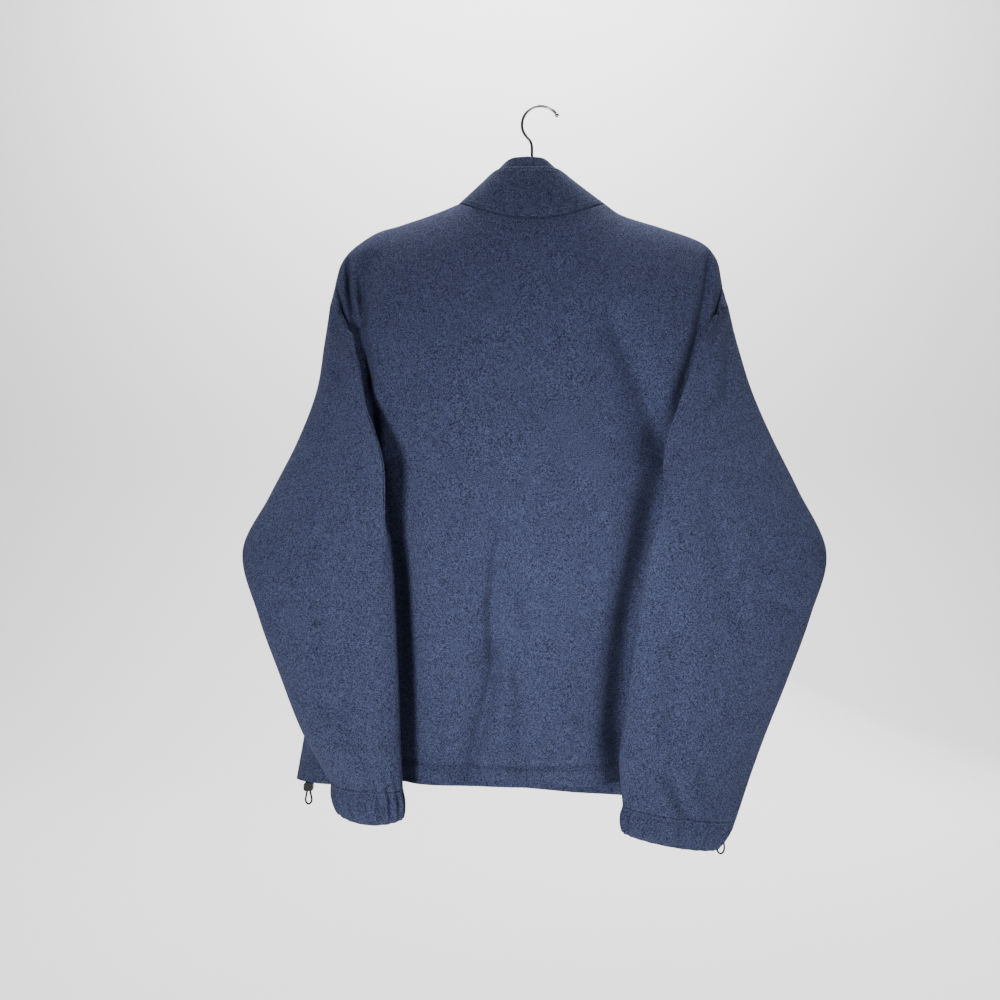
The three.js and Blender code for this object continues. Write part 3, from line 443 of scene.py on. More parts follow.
def body_point(share, v, back, fine=False):
    """A point of the body's outer face. fine adds what only this scene has."""
    left, right = side_edge("left", v, back), side_edge("right", v, back)

    def up(edge, s):
        return (edge.z - s["hem_z"]) / (s["shoulder_z"] - s["hem_z"])

    rise = lerp(up(left, SIDES["left"]), up(right, SIDES["right"]), share)
    top = top_edge(share, back)
    x = lerp(left.x, right.x, share)
    no_neck = max(top.z, NECK["z"]) if abs(top.x - NECK["x"]) < NECK["half"] else top.z
    hem = column(HEM["back" if back else "front"], "z", share)
    z = lerp(hem, no_neck, rise) + (top.z - no_neck) * rise**6
    edge_y = lerp(left.y, right.y, share)
    out = 1 if back else -1
    full = out * column(BODY, "back" if back else "front", 1 - rise)
    below = clamp((top.z - z) / SHOULDER_ROUND)
    start = 1 - math.sqrt(1 - min(top.y / full, 1) ** 2)
    deep = full * math.sqrt(1 - (1 - min(start + below, 1)) ** 2)
    near, far = across_share(NECK["x"] + NECK["half"]), across_share(NECK["x"] - NECK["half"])
    inward = clamp(min(share / near, (1 - share) / (1 - far), 1))
    y = edge_y + (deep - edge_y) * math.sin(math.acos(1 - inward)) ** column(BODY, "square", 1 - rise)
    press = fold_depth(BACK_FOLDS if back else FRONT_FOLDS, x, z)
    press *= smooth(below * 2.5) * smooth(inward * 5)
    if fine:
        press += drape(x, z, 1 if back else 4) * smooth(below * 2.5) * smooth(inward * 5)
        crease = crease_depth(BACK_CREASES if back else FRONT_CREASES, x, z)
        press += crease * smooth(below * 9) * smooth(inward * 25)
    y -= out * press
    if fine:
        y += out * stitch_groove(z - hem - HEM_STITCH) * smooth(inward * 20)
    return Vector((x, y, z))


def stitch_groove(off):
    """A turned hem's line of stitches: a sunk line with the folded cloth standing a little proud below it."""
    if abs(off) > GROOVE["reach"]:
        return 0.0
    sunk = -GROOVE["deep"] * math.exp(-((off / GROOVE["wide"]) ** 2))
    return sunk + GROOVE["proud"] * smooth((-off - 1) / 5) * smooth((GROOVE["reach"] + off) / 12)


def back_face(x, z):
    """How far back the body's cloth reaches at a place seen from behind."""
    v, share = 1.0, 0.5
    left, right = side_edge("left", v, True), side_edge("right", v, True)
    for _ in range(6):  # each round brings the place across and the height closer to x and z
        share = clamp((left.x - x) / (left.x - right.x))
        hem = column(HEM["back"], "z", share)
        rise = clamp((z - hem) / (top_edge(share, True).z - hem))
        s = SIDES["left" if share < 0.5 else "right"]
        bend = (s["under_z"] - s["hem_z"]) / (s["shoulder_z"] - s["hem_z"])
        if rise < bend:
            v = rise / bend
        else:
            v = 1 + math.acos(clamp(1 - 2 * (rise - bend) / (1 - bend), -1, 1)) / math.pi
        left, right = side_edge("left", v, True), side_edge("right", v, True)
    past = max(x - left.x, right.x - x, 0)
    return body_point(share, v, True).y - past * 2


REST_GAP, REST_AHEAD = 2.5, 7.5  # clear space to the back, and how far inwards it is kept


def rest_on_back(p, near, amount):
    """Lifts a point of a sleeve off the body's back, by a share of the way."""
    inwards = p.x - math.copysign(REST_AHEAD * near, p.x)
    over = p.y - back_face(inwards, p.z) - REST_GAP * near
    ease = 3 * near
    p.y += amount * (math.sqrt(over * over + ease * ease) - over) / 2
    return p


def ring(row, sign, turn):
    """Round a section of a sleeve or cuff, whose outer and inner edges the row gives."""
    up, out = math.cos(turn), math.sin(turn)
    t = (1 + up) / 2
    behind = max(out, 0) ** row.get("curl", 2)
    return Vector(
        (
            lerp(row["in_x"], row["out_x"], t) - sign * row.get("tuck", 0) * behind,
            lerp(row["in_y"], row["out_y"], t) + out * (row["back"] if out > 0 else row["front"]),
            lerp(row["in_z"], row["out_z"], t),
        )
    )


SLEEVE_START = 0.06  # share of the sleeve in which it leaves the armhole's shape
REACH = {"left": 9, "right": 14}  # how much further the sewn sleeve folds over the back than its solid
GATHER_START = 0.93  # share of the sleeve from which the cuff's gathers run into it


def sleeve_row(side, at):
    """The sleeve's section at a share of its length."""
    rows = SLEEVES[side]
    place = max(at, rows[0]["at"])
    row = {name: column(rows, name, place) for name in rows[0] if name != "at"}
    row["left"] = clamp(at / SLEEVE_START)
    row["tuck"] += REACH[side] * smooth((at - 0.03) / 0.15) * (1 - smooth((at - 0.18) / 0.22))
    row["tuck"] *= smooth(row["left"] * 1.2)
    row["curl"] = lerp(1.1, 2, smooth(at / 0.2))
    return row


def sleeve_point(side, at, turn, row):
    """A point of the sleeve's outer face, on its section at a share of its length."""
    sign = SIDES[side]["sign"]
    p = armhole(side, turn).lerp(ring(row, sign, turn), math.sin(math.pi / 2 * row["left"]))
    behind = max(math.sin(turn), 0)
    press = fold_depth(SLEEVE_FOLDS[side], p.x, p.z)
    press += crease_depth(SLEEVE_CREASES[side], p.x, p.z) + 0.8 * drape(p.x, p.z, 9 if sign > 0 else 12)
    p.y -= press * smooth(behind * 2) * smooth(at * 12)
    p += outwards(side, turn) * gathers(side, turn) * 0.9 * smooth((at - GATHER_START) / 0.07)
    return rest_on_back(p, smooth(at * 22), lerp(smooth(at * 24 - 0.4), 1, clamp(behind * 4)))


def gathers(side, turn):
    """The cuff's gathers round its edge: uneven in width and depth, some opening into one another."""
    sign = SIDES[side]["sign"]
    uneven = 1 + 0.45 * math.sin(3 * turn + sign) + 0.3 * math.sin(7 * turn)
    shift = 0.9 * math.sin(2 * turn)
    return uneven * math.cos(CUFFS[side]["gathers"] * turn + shift + 0.5 * math.sin(5 * turn + 1))


def outwards(side, turn):
    """The level direction away from the middle of a sleeve."""
    return Vector((math.cos(turn) * SIDES[side]["sign"] * 0.6, math.sin(turn), 0)).normalized()


CUFF_SHAPE = dict(gather=1.3, crown=1.3, pulled_in=0.6)  # how far it swells, and pulls in at its edge


def cuff_point(side, down, turn, end):
    """A point of the cuff, from the sleeve's end, where down is 0, to the cuff's edge, where it is 1.

    end is the sleeve's own point above it.
    """
    cuff = CUFFS[side]
    p = end.lerp(ring(cuff, SIDES[side]["sign"], turn), down)
    held = 0.35 + 0.65 * math.sin(math.pi * clamp(down * 0.9 + 0.05))
    out = CUFF_SHAPE["gather"] * gathers(side, turn) * held * smooth(down * 3)
    out += CUFF_SHAPE["crown"] * math.sin(math.pi * clamp(down))
    out -= CUFF_SHAPE["pulled_in"] * smooth((down - 0.8) / 0.2)
    p += outwards(side, turn) * out
    p.z -= cuff["sag"] * math.sin(turn) ** 2 * down
    return rest_on_back(p, 1, 1) if down > 0.02 else p


def collar_point(at, up):
    """A point of the collar, from one front edge at -1 to the other at 1, and from its seam up to its top."""
    share, sign = abs(at), 1 if at < 0 else -1
    top = Vector(
        (
            NECK["x"] + COLLAR_LEAN + sign * column(COLLAR, "side", share),
            column(COLLAR, "y", share),
            column(COLLAR, "z", share),
        )
    )
    p = neckline(at).lerp(top, up)
    p.y += 4 * smooth(1 - share * 2) * math.sin(math.pi * up)
    return p


def seam_dip(away, deep=1.3, wide=2.6):
    """How far cloth turns in at a seam that lies some millimetres away."""
    return deep * math.exp(-((away / wide) ** 2))


def dense(t, ends=0.55):
    """Spreads even steps so that they crowd at both ends."""
    return lerp(t, (1 - math.cos(math.pi * t)) / 2, ends)


def cloth(name, across, along, place, flip=False, tube=False, thick=CLOTH, spread=(dense, dense)):
    """A sheet of cloth: a grid whose points a function places, turned outwards, smoothed and given a wall."""
    bm = bmesh.new()
    uv = bm.loops.layers.uv.new("cloth")
    bmesh.ops.create_grid(bm, x_segments=across, y_segments=along, size=0.5)
    spots = {}
    for v in bm.verts:
        spots[v] = (spread[0](clamp(v.co.x + 0.5)), spread[1](clamp(v.co.y + 0.5)))
    placed = {v: place(*spot) * MM for v, spot in spots.items()}
    for v, point in placed.items():
        v.co = point
    wide = sum(f.calc_area() for f in bm.faces) ** 0.5
    for face in bm.faces:
        for loop in face.loops:
            loop[uv].uv = [c * wide for c in spots[loop.vert]]
    if tube:
        bmesh.ops.remove_doubles(bm, verts=bm.verts, dist=1e-6)
    if flip:
        bmesh.ops.reverse_faces(bm, faces=bm.faces)
    obj = finished(bm, name, smooth_faces=True)
    wall = obj.modifiers.new("wall", "SOLIDIFY")
    wall.thickness, wall.offset, wall.use_even_offset = thick * MM, -1, False
    return obj


def even(t):
    return t


PANEL_ROWS = 170  # of faces, from the hem to the shoulders


def panel(name, first, last, back, across):
    """A body panel between two shares of the way across, from the hem up to the neck and shoulders."""

    def place(u, w):
        share, v = lerp(first, last, u), 2 * w
        p = body_point(share, v, back, fine=True)
        out = 1 if back else -1
        edges = [abs(p.x - side_edge(side, v, back).x) for side in SIDES]
        p.y -= out * sum(seam_dip(e) for e in edges)
        top = top_edge(share, back)
        if w > 0.6:
            p.y -= out * seam_dip((top - p).length)
        return p

    return cloth(name, across, PANEL_ROWS, place, flip=not back)


def sleeve_maker(side):
    """The sleeve's surface, as a function of the share of the way round, u, and down, w."""
    rows = {}

    def arm(u, w):
        at = clamp(w)
        if at not in rows:
            rows[at] = sleeve_row(side, at)
        return sleeve_point(side, at, math.pi * (1 + 2 * u), rows[at])

    return arm


def cuff_maker(side):
    """The cuff's surface, which goes on from the sleeve's end, in the same way."""
    arm, ends = sleeve_maker(side), {}

    def cuff(u, w):
        if u not in ends:
            ends[u] = arm(u, 1.0)
        return cuff_point(side, clamp(w), math.pi * (1 + 2 * u), ends[u])

    return cuff


COLLAR_OUTER = (0, 0.81)  # share of the collar's height from the foot to the top of each layer
COLLAR_INNER = (0.67, 1)


def fleece_pieces():
    """The pieces of fleece, each with the node that it stands for."""
    slit = ZIP_HALF_GAP / TOP_WIDTH
    pieces = [
        (panel("back_fleece", 0, 1, True, 150), "back"),
        (panel("front_left_fleece", 0, MIDDLE - slit, False, 76), "front_left"),
        (panel("front_right_fleece", MIDDLE + slit, 1, False, 76), "front_right"),
    ]
    for side, s in SIDES.items():
        flip = s["sign"] > 0
        for node, across, along, place in (
            ("sleeve_" + side, 110, 190, sleeve_maker(side)),
            ("cuff_" + side, 264, 20, cuff_maker(side)),
        ):
            piece = cloth(node + "_fleece", across, along, place, flip=flip, tube=True, spread=(even, even))
            pieces.append((piece, node))

    def outer(u, w):
        return collar_point(2 * u - 1, lerp(*COLLAR_OUTER, w))

    def inner(u, w):
        p = collar_point(2 * u - 1, lerp(*COLLAR_INNER, w))
        away = Vector((p.x - NECK["x"] - COLLAR_LEAN, p.y + 15, 0)).normalized()
        return p - away * (CLOTH + COLLAR_LAYERS)

    pieces.append((cloth("collar_fleece", 160, 20, outer), "collar"))
    pieces.append((cloth("collar_inner_fleece", 160, 12, inner), "collar_inner"))
    return pieces


def front_line(v, off):
    """A point of the fronts' face at a distance to the left of the zip's centre line."""
    return body_point(MIDDLE - off / TOP_WIDTH, v, False, fine=True)


def zip_pieces():
    """The zip's tapes and their ends on the collar, each with the node that it stands for."""
    pieces = []
    for side, s in SIDES.items():
        sign = s["sign"]

        def tape(u, w, sign=sign):
            p = front_line(2 * w * TAPE["top"], sign * lerp(TAPE["inner"], TAPE["outer"], u))
            p.y += TAPE["set_in"]
            return p

        def tape_end(u, w, sign=sign):
            up = lerp(TAPE_END["foot"], TAPE_END["top"], w)
            end, before = collar_point(-sign, up), collar_point(-sign * 0.97, up)
            p = end + (end - before).normalized() * lerp(TAPE_END["under"], TAPE_END["out"], u)
            p.y += CLOTH / 2
            return p

        for node, across, along, place in (
            ("zip_tape_" + side, 8, 150, tape),
            ("zip_end_" + side, 6, 16, tape_end),
        ):
            name, thick = node + "_woven", TAPE["thick"]
            woven = cloth(name, across, along, place, flip=sign < 0, thick=thick, spread=(even, even))
            pieces.append((woven, node))
    return pieces


# set_in is how far the tapes lie behind the fronts' face, and top the share of the front edge they run up
TAPE = dict(thick=0.8, inner=3.2, outer=14, set_in=2.8, top=22 / 23)
TAPE_END = dict(foot=0.12, top=0.8, under=-0.4, out=6)  # foot and top are shares of the collar's height
# low and top are shares of the front edge, and out how much of a tooth stands to its own side
TOOTH = dict(pitch=2.6, long=3.4, high=1.3, deep=2.2, cut=0.35, low=0.09, top=0.868, out=0.36)


def small_block(bm, at, sizes_mm, cut):
    """A small block with bevelled edges, placed in a mesh."""
    made = bmesh.ops.create_cube(bm, size=1)["verts"]
    bmesh.ops.scale(bm, verts=made, vec=[c * MM for c in sizes_mm])
    edges = {e for v in made for e in v.link_edges}
    cutting = bmesh.ops.bevel(
        bm, geom=list(edges), affect="EDGES", offset=cut * MM, segments=1, profile=0.5, material=-1
    )
    verts = {v for f in cutting["faces"] for v in f.verts}
    bmesh.ops.translate(bm, verts=list(verts), vec=at)


def finished(bm, name, smooth_faces=False):
    """The object of a finished mesh."""
    mesh = bpy.data.meshes.new(name)
    for face in bm.faces:
        face.smooth = smooth_faces
    bm.to_mesh(mesh)
    bm.free()
    obj = bpy.data.objects.new(name, mesh)
    bpy.context.collection.objects.link(obj)
    return obj


def zip_teeth():
    """The closed zip's two rows of teeth, which mesh by half a pitch."""
    bm = bmesh.new()
    low, top = front_line(2 * TOOTH["low"], 0), front_line(2 * TOOTH["top"], 0)
    count = round((top.z - low.z) / TOOTH["pitch"])
    for i in range(2 * count):
        sign = 1 if i % 2 else -1
        v = 2 * lerp(TOOTH["low"], TOOTH["top"], i / (2 * count))
        p = front_line(v, sign * TOOTH["long"] * TOOTH["out"])
        p.y += TAPE["set_in"] - TAPE["thick"] / 2
        small_block(bm, p * MM, (TOOTH["long"], TOOTH["deep"], TOOTH["high"]), TOOTH["cut"])
    return finished(bm, "zip_teeth")


def hook_path():
    """The wire of the hook: its bow, from the free end round, then the bend and the stem."""
    top = HOOK["bow"] - HOOK["wire"]
    path = []
    for i in range(BOW_STEPS + 1):
        turn = lerp(HOOK["free_turn"], HOOK["bend_turn"], i / BOW_STEPS)
        path.append(Vector((HOOK["bow"] * math.cos(turn), 0, HOOK["bow"] * math.sin(turn) - top)))
    start, stem = path[-1], Vector((HOOK["stem_x"], 0, HOOK["bend_z"]))
    a, b = Vector(BEND_A), Vector(BEND_B)
    for i in range(1, BEND_STEPS + 1):
        t = i / BEND_STEPS
        path.append(start * (1 - t) ** 3 + a * 3 * t * (1 - t) ** 2 + b * 3 * t * t * (1 - t) + stem * t**3)
    for z in (HOOK["stem_z"], HOOK["foot_z"]):
        path.append(Vector((HOOK["stem_x"], 0, z)))
    return path


# The hook's bow runs between two turns, in radians from level, and its bend is a curve with two handles
HOOK = dict(
    bow=22.6,
    wire=1.75,
    ball=2.6,
    free_turn=2.6,
    bend_turn=-0.45,
    stem_x=10.7,
    bend_z=-50,
    stem_z=-80,
    foot_z=-111,
)
BEND_A, BEND_B = (15.6, 0, -39.5), (HOOK["stem_x"], 0, -38)
BOW_STEPS, BEND_STEPS = 32, 12
WIRE_SIDES = 16


def wire(name, points, radius, ball=0):
    """A round wire along points, swept from a ring of vertices, closed at both ends."""
    bm = bmesh.new()
    rings, side = [], Vector((0, 1, 0))
    for i, p in enumerate(points):
        ahead = (points[min(i + 1, len(points) - 1)] - points[max(i - 1, 0)]).normalized()
        other = ahead.cross(side).normalized()
        ring_now = bmesh.ops.create_circle(bm, segments=WIRE_SIDES, radius=radius * MM)["verts"]
        for k, v in enumerate(ring_now):
            turn = 2 * math.pi * k / WIRE_SIDES
            v.co = (p + (side * math.cos(turn) + other * math.sin(turn)) * radius) * MM
        rings.append(ring_now)
    for a, b in zip(rings, rings[1:]):
        for k in range(WIRE_SIDES):
            after = (k + 1) % WIRE_SIDES
            bm.faces.new((a[k], a[after], b[after], b[k]))
    bm.faces.new(rings[0])
    bm.faces.new(rings[-1])
    bmesh.ops.recalc_face_normals(bm, faces=bm.faces)
    if ball:
        made = bmesh.ops.create_uvsphere(bm, u_segments=20, v_segments=12, radius=ball * MM)["verts"]
        bmesh.ops.translate(bm, verts=made, vec=points[0] * MM)
    return finished(bm, name, smooth_faces=True)


def line_up(share, back, height):
    """How far up the body a line runs that stays at a height above the hem."""
    hem = column(HEM["back" if back else "front"], "z", share)
    lo, hi = 0.0, 0.5
    for _ in range(14):  # halves the range each time
        v = (lo + hi) / 2
        if body_point(share, v, back).z - hem < height:
            lo = v
        else:
            hi = v
    return v


THREAD = dict(long=2.5, wide=0.75, high=0.55)
STITCH = 3.4  # from one stitch to the next


def sew(bm, points, outs):
    """Stitches along a line of points, lying on the cloth whose outward directions are given."""
    spare = 0.0
    for (a, b), out in zip(zip(points, points[1:]), outs):
        run = b - a
        far = run.length
        if far < 1e-6:
            continue
        ahead = run / far
        side = out.cross(ahead).normalized()
        up = ahead.cross(side)
        while spare < far:
            at = a + ahead * spare + up * 0.15
            turn = Matrix.Identity(4)
            for k, (axis, size) in enumerate(((ahead, "long"), (side, "wide"), (up, "high"))):
                for j in range(3):
                    turn[j][k] = axis[j] * THREAD[size] / 2 * MM
            turn.translation = at * MM
            bmesh.ops.create_icosphere(bm, subdivisions=1, radius=1, matrix=turn)
            spare += STITCH
        spare -= far


def normal_at(place, u, w, step=0.004):
    """The direction across a surface function at a spot."""
    a = place(u + step, w) - place(u - step, w)
    b = place(u, w + step) - place(u, w - step)
    return a.cross(b).normalized()


def sewn_line(bm, place, spots, sign=1):
    """Stitches along spots of a surface function. sign is -1 where its directions cross inwards."""
    sew(bm, [place(u, w) for u, w in spots], [normal_at(place, u, w) * sign for u, w in spots])


def topstitching():
    """The lines of stitches at the hem, cuffs, armholes, collar and zip."""
    made = {}

    def start(name):
        made[name] = bmesh.new()
        return made[name]

    def spread(lo, hi, count):
        return [lerp(lo, hi, i / count) for i in range(count + 1)]

    def body(back):
        return lambda u, w: body_point(clamp(u), clamp(w, 0, 2), back, fine=True)

    bm = start("stitching_body")
    for back, first, last in ((True, 0.01, 0.99), (False, 0.01, MIDDLE - 0.03), (False, MIDDLE + 0.03, 0.99)):
        spots = [(u, line_up(u, back, HEM_STITCH)) for u in spread(first, last, 60)]
        sewn_line(bm, body(back), spots, 1 if back else -1)
    for sign in (1, -1):
        off = sign * ZIP_STITCH / TOP_WIDTH
        sewn_line(bm, body(False), [(MIDDLE - off, w) for w in spread(0.02, 1.9, 80)], -1)

    bm = start("stitching_sleeves")
    for side, s in SIDES.items():
        sewn_line(bm, sleeve_maker(side), [(u, ARMHOLE_AT) for u in spread(0, 1, 90)], -s["sign"])
        sewn_line(bm, cuff_maker(side), [(u, CUFF_AT) for u in spread(0, 1, 110)], -s["sign"])

    bm = start("stitching_collar")
    for at in COLLAR_AT:
        sewn_line(bm, lambda u, w: collar_point(2 * u - 1, w), [(u, at) for u in spread(0.02, 0.98, 90)])
    return [finished(bm, name, smooth_faces=True) for name, bm in made.items()]


ZIP_STITCH = 13  # from the zip's centre line to the stitches beside it
ARMHOLE_AT = 0.014  # share of the sleeve from the armhole seam down to its topstitching
CUFF_AT = 0.08  # share of the cuff from its seam down to its topstitching
COLLAR_AT = (0.09, 0.74)  # shares of the collar's height at its two lines of stitches


class Value:
    """A socket of a material's nodes, on which Python's operators add Math nodes."""

    def __init__(self, look, socket):
        self.look, self.socket = look, socket

    def maths(self, operation, *others):
        return self.look.node("ShaderNodeMath", {"operation": operation}, *others)

    def __add__(self, other):
        return self.maths("ADD", self, other)

    def __mul__(self, other):
        return self.maths("MULTIPLY", self, other)

    __radd__, __rmul__ = __add__, __mul__

    def between(self, low, high):
        """0 below low, 1 above high and even steps between."""
        return self.look.node("ShaderNodeMapRange", {}, self, low, high, 0.0, 1.0)


class Look:
    """A material and its nodes."""

    def __init__(self, name, **settings):
        self.material = bpy.data.materials.new(name)
        self.material.use_nodes = True
        self.nodes, self.links = self.material.node_tree.nodes, self.material.node_tree.links
        self.shader = self.nodes["Principled BSDF"]
        for name, value in settings.items():
            self.shader.inputs[name.replace("_", " ")].default_value = value
        self.place = self.node("ShaderNodeTexCoord", {}, out="Object")

    def node(self, kind, settings, *values, out=0, **named):
        made = self.nodes.new(kind)
        for name, value in settings.items():
            setattr(made, name, value)
        for name, value in [*enumerate(values), *named.items()]:
            socket = made.inputs[name]
            if isinstance(value, Value):
                self.links.new(value.socket, socket)
            else:
                socket.default_value = value
        return Value(self, made.outputs[out])

    def noise(self, size, detail=2.0, rough=0.5, place=None):
        """Cloudy noise with features of about a size in metres."""
        at = place or self.place
        return self.node("ShaderNodeTexNoise", {}, Vector=at, Scale=1 / size, Detail=detail, Roughness=rough)

    def mix(self, factor, a, b):
        """A colour between a and b."""
        made = self.nodes.new("ShaderNodeMix")
        made.data_type = "RGBA"
        self.links.new(factor.socket, made.inputs["Factor"])
        for name, value in (("A", a), ("B", b)):
            socket = next(i for i in made.inputs if i.name == name and i.type == "RGBA")
            if isinstance(value, Value):
                self.links.new(value.socket, socket)
            else:
                socket.default_value = (*value, 1)
        return Value(self, next(o for o in made.outputs if o.type == "RGBA"))

    def ribbed(self, way, scale, uneven):
        """Even ribs across a direction."""
        return self.node(
            "ShaderNodeTexWave", {"bands_direction": way}, Vector=self.place, Scale=scale, Distortion=uneven
        )

    def stretched(self, x, y, z):
        """Object coordinates with their axes scaled, for streaks."""
        return self.node("ShaderNodeMapping", {}, Vector=self.place, Scale=(x, y, z))

    def paint(self, **links):
        for name, value in links.items():
            self.links.new(value.socket, self.shader.inputs[name.replace("_", " ")])
        return self

    def bump(self, height, deep, strength=1.0):
        return self.node("ShaderNodeBump", {}, Strength=strength, Distance=deep, Height=height, out="Normal")


def fleece_look():
    look = Look(
        "navy_fleece",
        Roughness=0.95,
        Specular_IOR_Level=0.15,
        Sheen_Weight=0.03,
        Sheen_Roughness=0.55,
        Sheen_Tint=(0.5, 0.6, 0.85, 1),
    )
    nap = look.noise(0.0011, 2)
    clumps = look.noise(0.0022, 2)
    brushed = look.noise(0.014, 2)
    broad = look.noise(0.14, 1)
    lit = nap.between(0.4, 0.6) * 0.6 + clumps.between(0.38, 0.62) * 0.25 + brushed.between(0.3, 0.7) * 0.07
    colour = look.mix(lit + broad * 0.08, (0.0055, 0.0065, 0.0185), (0.069, 0.0815, 0.162))
    height = nap * 0.6 + clumps * 0.8
    look.paint(Base_Color=colour, Normal=look.bump(height, 0.0014, 0.9))
    return look.material


def thread_look():
    look = Look("navy_thread", Roughness=0.6, Sheen_Weight=0.3)
    colour = look.mix(look.noise(0.004).between(0.3, 0.7), (0.02, 0.026, 0.06), (0.038, 0.048, 0.107))
    return look.paint(Base_Color=colour).material


def tape_look():
    look = Look("zip_tape", Roughness=0.85, Sheen_Weight=0.2)
    ribs = look.ribbed("Z", 500, 0.4)
    colour = look.mix(ribs, (0.012, 0.017, 0.04), (0.03, 0.04, 0.085))
    return look.paint(Base_Color=colour, Normal=look.bump(ribs, 0.0002, 0.6)).material


def plastic_look(name, dark, light, shine=0.5):
    look = Look(name, Roughness=0.45, Specular_IOR_Level=shine)
    worn = look.noise(0.002, 3)
    colour = look.mix(worn.between(0.35, 0.65), dark, light)
    look.paint(Base_Color=colour, Roughness=worn * 0.3 + 0.3, Normal=look.bump(worn, 0.0001, 0.3))
    return look.material


def metal_look(name, base, rough):
    look = Look(name, Metallic=1.0, Roughness=rough)
    scuffs = look.noise(0.004, 4, place=look.stretched(1, 1, 0.2))
    tone = look.mix(scuffs.between(0.35, 0.7), [c * 0.82 for c in base], base)
    worn = scuffs * 0.16 + (rough - 0.04)
    return look.paint(Base_Color=tone, Roughness=worn, Normal=look.bump(scuffs, 0.00008, 0.25)).material


def cord_look():
    look = Look("elastic_cord", Roughness=0.85, Specular_IOR_Level=0.12)
    braid = look.ribbed("DIAGONAL", 700, 1.0)
    colour = look.mix(braid, (0.004, 0.004, 0.005), (0.014, 0.015, 0.018))
    return look.paint(Base_Color=colour, Normal=look.bump(braid, 0.0003, 0.7)).material


def wood_look():
    look = Look("hanger_wood", Roughness=0.42, Coat_Weight=0.25, Coat_Roughness=0.25)
    grain = look.noise(0.003, 5, 0.6, place=look.stretched(0.08, 1, 1))
    rings = look.noise(0.02, 2, place=look.stretched(0.15, 1, 1))
    colour = look.mix(grain.between(0.3, 0.7), (0.42, 0.26, 0.13), (0.62, 0.42, 0.23))
    colour = look.mix(rings.between(0.45, 0.75), colour, (0.36, 0.21, 0.1))
    return look.paint(Base_Color=colour, Normal=look.bump(grain, 0.0002, 0.4)).material


def stage_look():
    look = Look("pale_backdrop", Roughness=0.9)
    tone = look.mix(look.noise(0.5, 1), (0.78, 0.78, 0.775), (0.8, 0.8, 0.795))
    return look.paint(Base_Color=tone).material


def backdrop():
    """A pale floor that curves up into a wall behind the object."""
    bm = bmesh.new()
    bmesh.ops.create_grid(bm, x_segments=2, y_segments=40, size=0.5)
    for v in bm.verts:
        x, t = v.co.x * STAGE["wide"], (v.co.y + 0.5) * 3
        bend, far = STAGE["bend"], STAGE["wall_y"]
        if t < 1:
            v.co = (x, lerp(STAGE["front"], far + bend, t), STAGE["floor"])
        elif t < 2:
            turn = math.pi / 2 * (t - 1)
            v.co = (x, far + bend - bend * math.sin(turn), STAGE["floor"] + bend * (1 - math.cos(turn)))
        else:
            v.co = (x, far, lerp(STAGE["floor"] + bend, STAGE["top"], t - 2))
    sheet = finished(bm, "backdrop", smooth_faces=True)
    return sheet


STAGE = dict(wide=14, front=6, wall_y=-3.2, floor=-1.45, bend=1.2, top=5)  # metres


def area_light(name, at, aim, energy, size, spread=180):
    lamp = bpy.data.lights.new(name, "AREA")
    lamp.energy, lamp.size, lamp.spread = energy, size, math.radians(spread)
    obj = bpy.data.objects.new(name, lamp)
    obj.location = at
    obj.rotation_euler = (Vector(aim) - Vector(at)).to_track_quat("-Z", "Y").to_euler()
    bpy.context.collection.objects.link(obj)


def light_up():
    """Soft studio light, in metres and watts: two keys from behind, one in front and one on the wall."""
    area_light("key", (0.74, 1.7, -1.0), (-0.06, 0.0, -0.54), 2.75, 0.34, spread=39)
    area_light("second_key", (-0.9, 1.8, -0.95), (-0.05, 0.0, -0.52), 0.95, 0.5, spread=44)
    area_light("front_key", (-1.5, -2.4, -0.2), (0, 0, -0.5), 22, 1.8)
    area_light("wall_wash", (0, -1.0, 2.6), (0, -3.2, -0.6), 440, 2.5)
    world = bpy.data.worlds.new("studio")
    world.use_nodes = True
    world.node_tree.nodes["Background"].inputs["Color"].default_value = (0.95, 0.96, 1, 1)
    world.node_tree.nodes["Background"].inputs["Strength"].default_value = 0.11
    bpy.context.scene.world = world


def set_camera():
    camera = bpy.data.cameras.new("camera")
    camera.lens, camera.sensor_width, camera.sensor_fit = LENS, SENSOR, "HORIZONTAL"
    obj = bpy.data.objects.new("camera", camera)
    obj.location = [c * MM for c in EYE]
    obj.rotation_euler = (math.pi / 2, 0, math.pi)
    bpy.context.collection.objects.link(obj)
    bpy.context.scene.camera = obj


# share is the lock's place along the hem, loop the width of its loop of cord and long how far that hangs
LOCKS = {"left": dict(share=0.035, loop=12, long=16), "right": dict(share=0.988, loop=14, long=51)}
LOCK = dict(width=11, height=9.5, cut=1.6)
LOCK_SHARE = (LOCK["width"] / 2 - LOCK["cut"]) / (SIDES["left"]["hem_x"] - SIDES["right"]["hem_x"])
CORD = dict(radius=1.1, apart=1.7, gap=0.3, lock_gap=0.4, narrow=0.62)
CORD_STEPS = 16  # round the loop's lower half


def lock_top(side):
    """Where a cord lock's upper side sits, just under the back's hem."""
    share = LOCKS[side]["share"]
    ends = [body_point(clamp(share + off), 0, True).z for off in (-LOCK_SHARE, LOCK_SHARE)]
    p = body_point(share, 0, True)
    return Vector((p.x, p.y - CLOTH / 2, min(ends) - CORD["lock_gap"]))


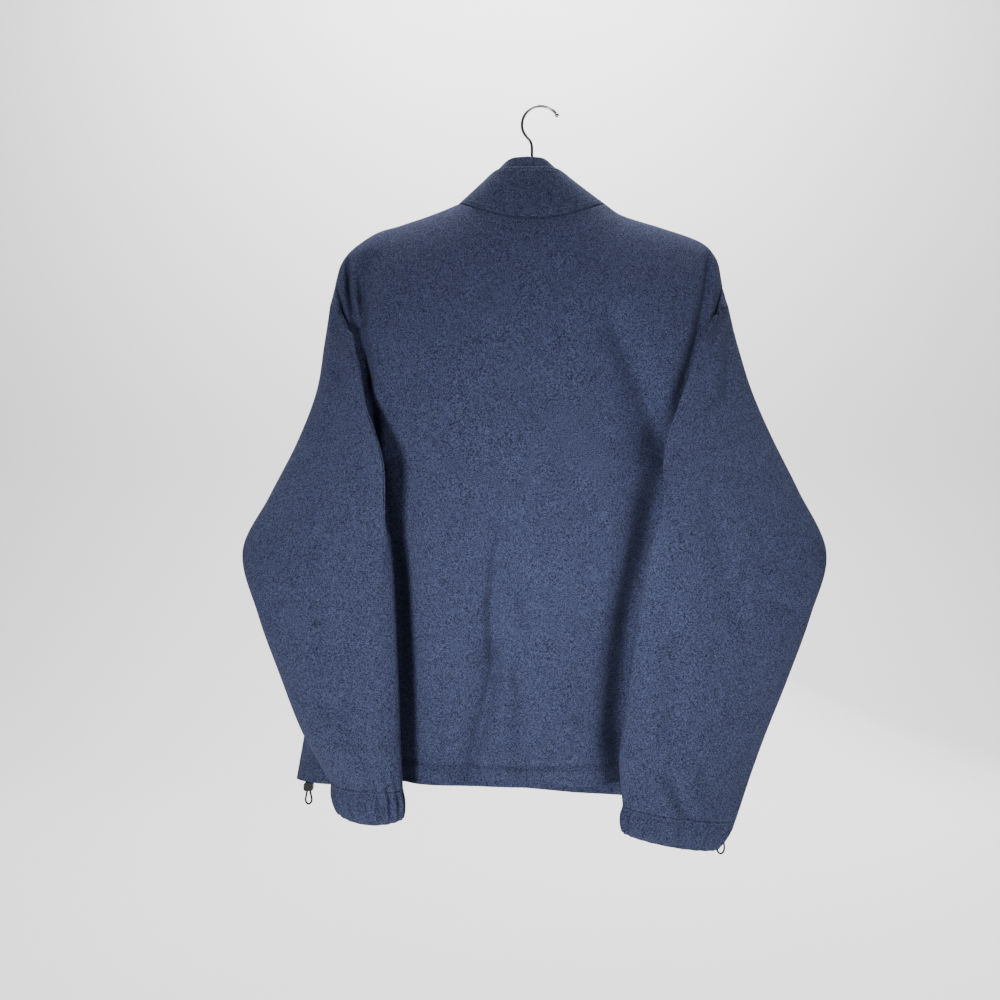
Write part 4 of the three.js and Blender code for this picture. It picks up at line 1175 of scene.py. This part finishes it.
def cord_route(side):
    """The loop of cord under a lock, from one strand's end round to the other's."""
    loop, long = LOCKS[side]["loop"], LOCKS[side]["long"]
    half = loop / 2
    foot = lock_top(side) - Vector((0, 0, LOCK["height"]))
    route = [Vector((CORD["apart"], 0, -CORD["gap"]))]
    for i in range(CORD_STEPS + 1):
        turn = math.pi * i / CORD_STEPS
        route.append(Vector((half * math.cos(turn) * CORD["narrow"], 0, half - long - half * math.sin(turn))))
    route.append(Vector((-CORD["apart"], 0, -CORD["gap"])))
    return [foot + p for p in route]


def elastic_cord(side):
    """The loop of cord under a lock, made as a round wire in place of the model's cord."""
    route = cord_route(side)
    obj = wire("cord_loop_" + side, route, CORD["radius"])
    path = [tuple(p * MM) for p in route]
    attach(obj, "garment")
    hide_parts("cord_" + side)
    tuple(path[0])
    sum((b - a).length for a, b in zip(route, route[1:])) * MM
    return obj


def dress():
    """Sets the scene, and makes every piece with its material."""
    set_camera()
    light_up()
    backdrop().data.materials.append(stage_look())
    fleece, thread, tape = fleece_look(), thread_look(), tape_look()
    braid = cord_look()
    for side in SIDES:
        elastic_cord(side).data.materials.append(braid)
    for obj, node in fleece_pieces() + zip_pieces():
        flat, area, held = CUTS[node]
        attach(obj, "garment")
        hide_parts(node)
        obj.data.materials.append(tape if node.startswith("zip") else fleece)
    for obj in topstitching():
        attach(obj, "garment")
        obj.data.materials.append(thread)
    steel = metal_look("polished_steel", (0.46, 0.45, 0.44), 0.2)
    zinc = metal_look("zip_zinc", (0.5, 0.51, 0.53), 0.34)
    teeth = zip_teeth()
    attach(teeth, "garment")
    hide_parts("zip_chain")
    teeth.data.materials.append(plastic_look("zip_plastic", (0.012, 0.016, 0.035), (0.03, 0.038, 0.07)))
    hook = wire("hook_wire", hook_path(), HOOK["wire"], HOOK["ball"])
    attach(hook, "garment")
    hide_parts("hanger_hook")
    hook.data.materials.append(steel)
    black = plastic_look("black_plastic", (0.005, 0.005, 0.006), (0.014, 0.014, 0.015), 0.12)
    looks = {"zip_slider": zinc, "zip_pull": zinc, "zip_stop": zinc, "hanger": wood_look()}
    looks |= {"lock_left": black, "lock_right": black}
    for node, material in looks.items():
        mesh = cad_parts[node].data
        mesh.materials.clear()
        mesh.materials.append(material)


# What each piece is cut to: width and length in metres, area in square metres, and how it is held
CUTS = {
    "back": ((0.56, 0.76), 0.33, "hung"),
    "front_left": ((0.32, 0.76), 0.17, "hung"),
    "front_right": ((0.3, 0.77), 0.17, "hung"),
    "sleeve_left": ((0.4, 0.6), 0.16, "hung"),
    "sleeve_right": ((0.46, 0.62), 0.2, "hung"),
    "cuff_left": ((0.2, 0.035), 0.007, "gathered"),
    "cuff_right": ((0.25, 0.045), 0.01, "gathered"),
    "collar": ((0.43, 0.06), 0.021, "hung"),
    "collar_inner": ((0.4, 0.03), 0.007, "hung"),
    "zip_tape_left": ((0.0108, 0.65), 0.007, "hung"),
    "zip_tape_right": ((0.0108, 0.65), 0.007, "hung"),
    "zip_end_left": ((0.01, 0.052), 0.00034, "hung"),
    "zip_end_right": ((0.01, 0.052), 0.00034, "hung"),
}

dress()
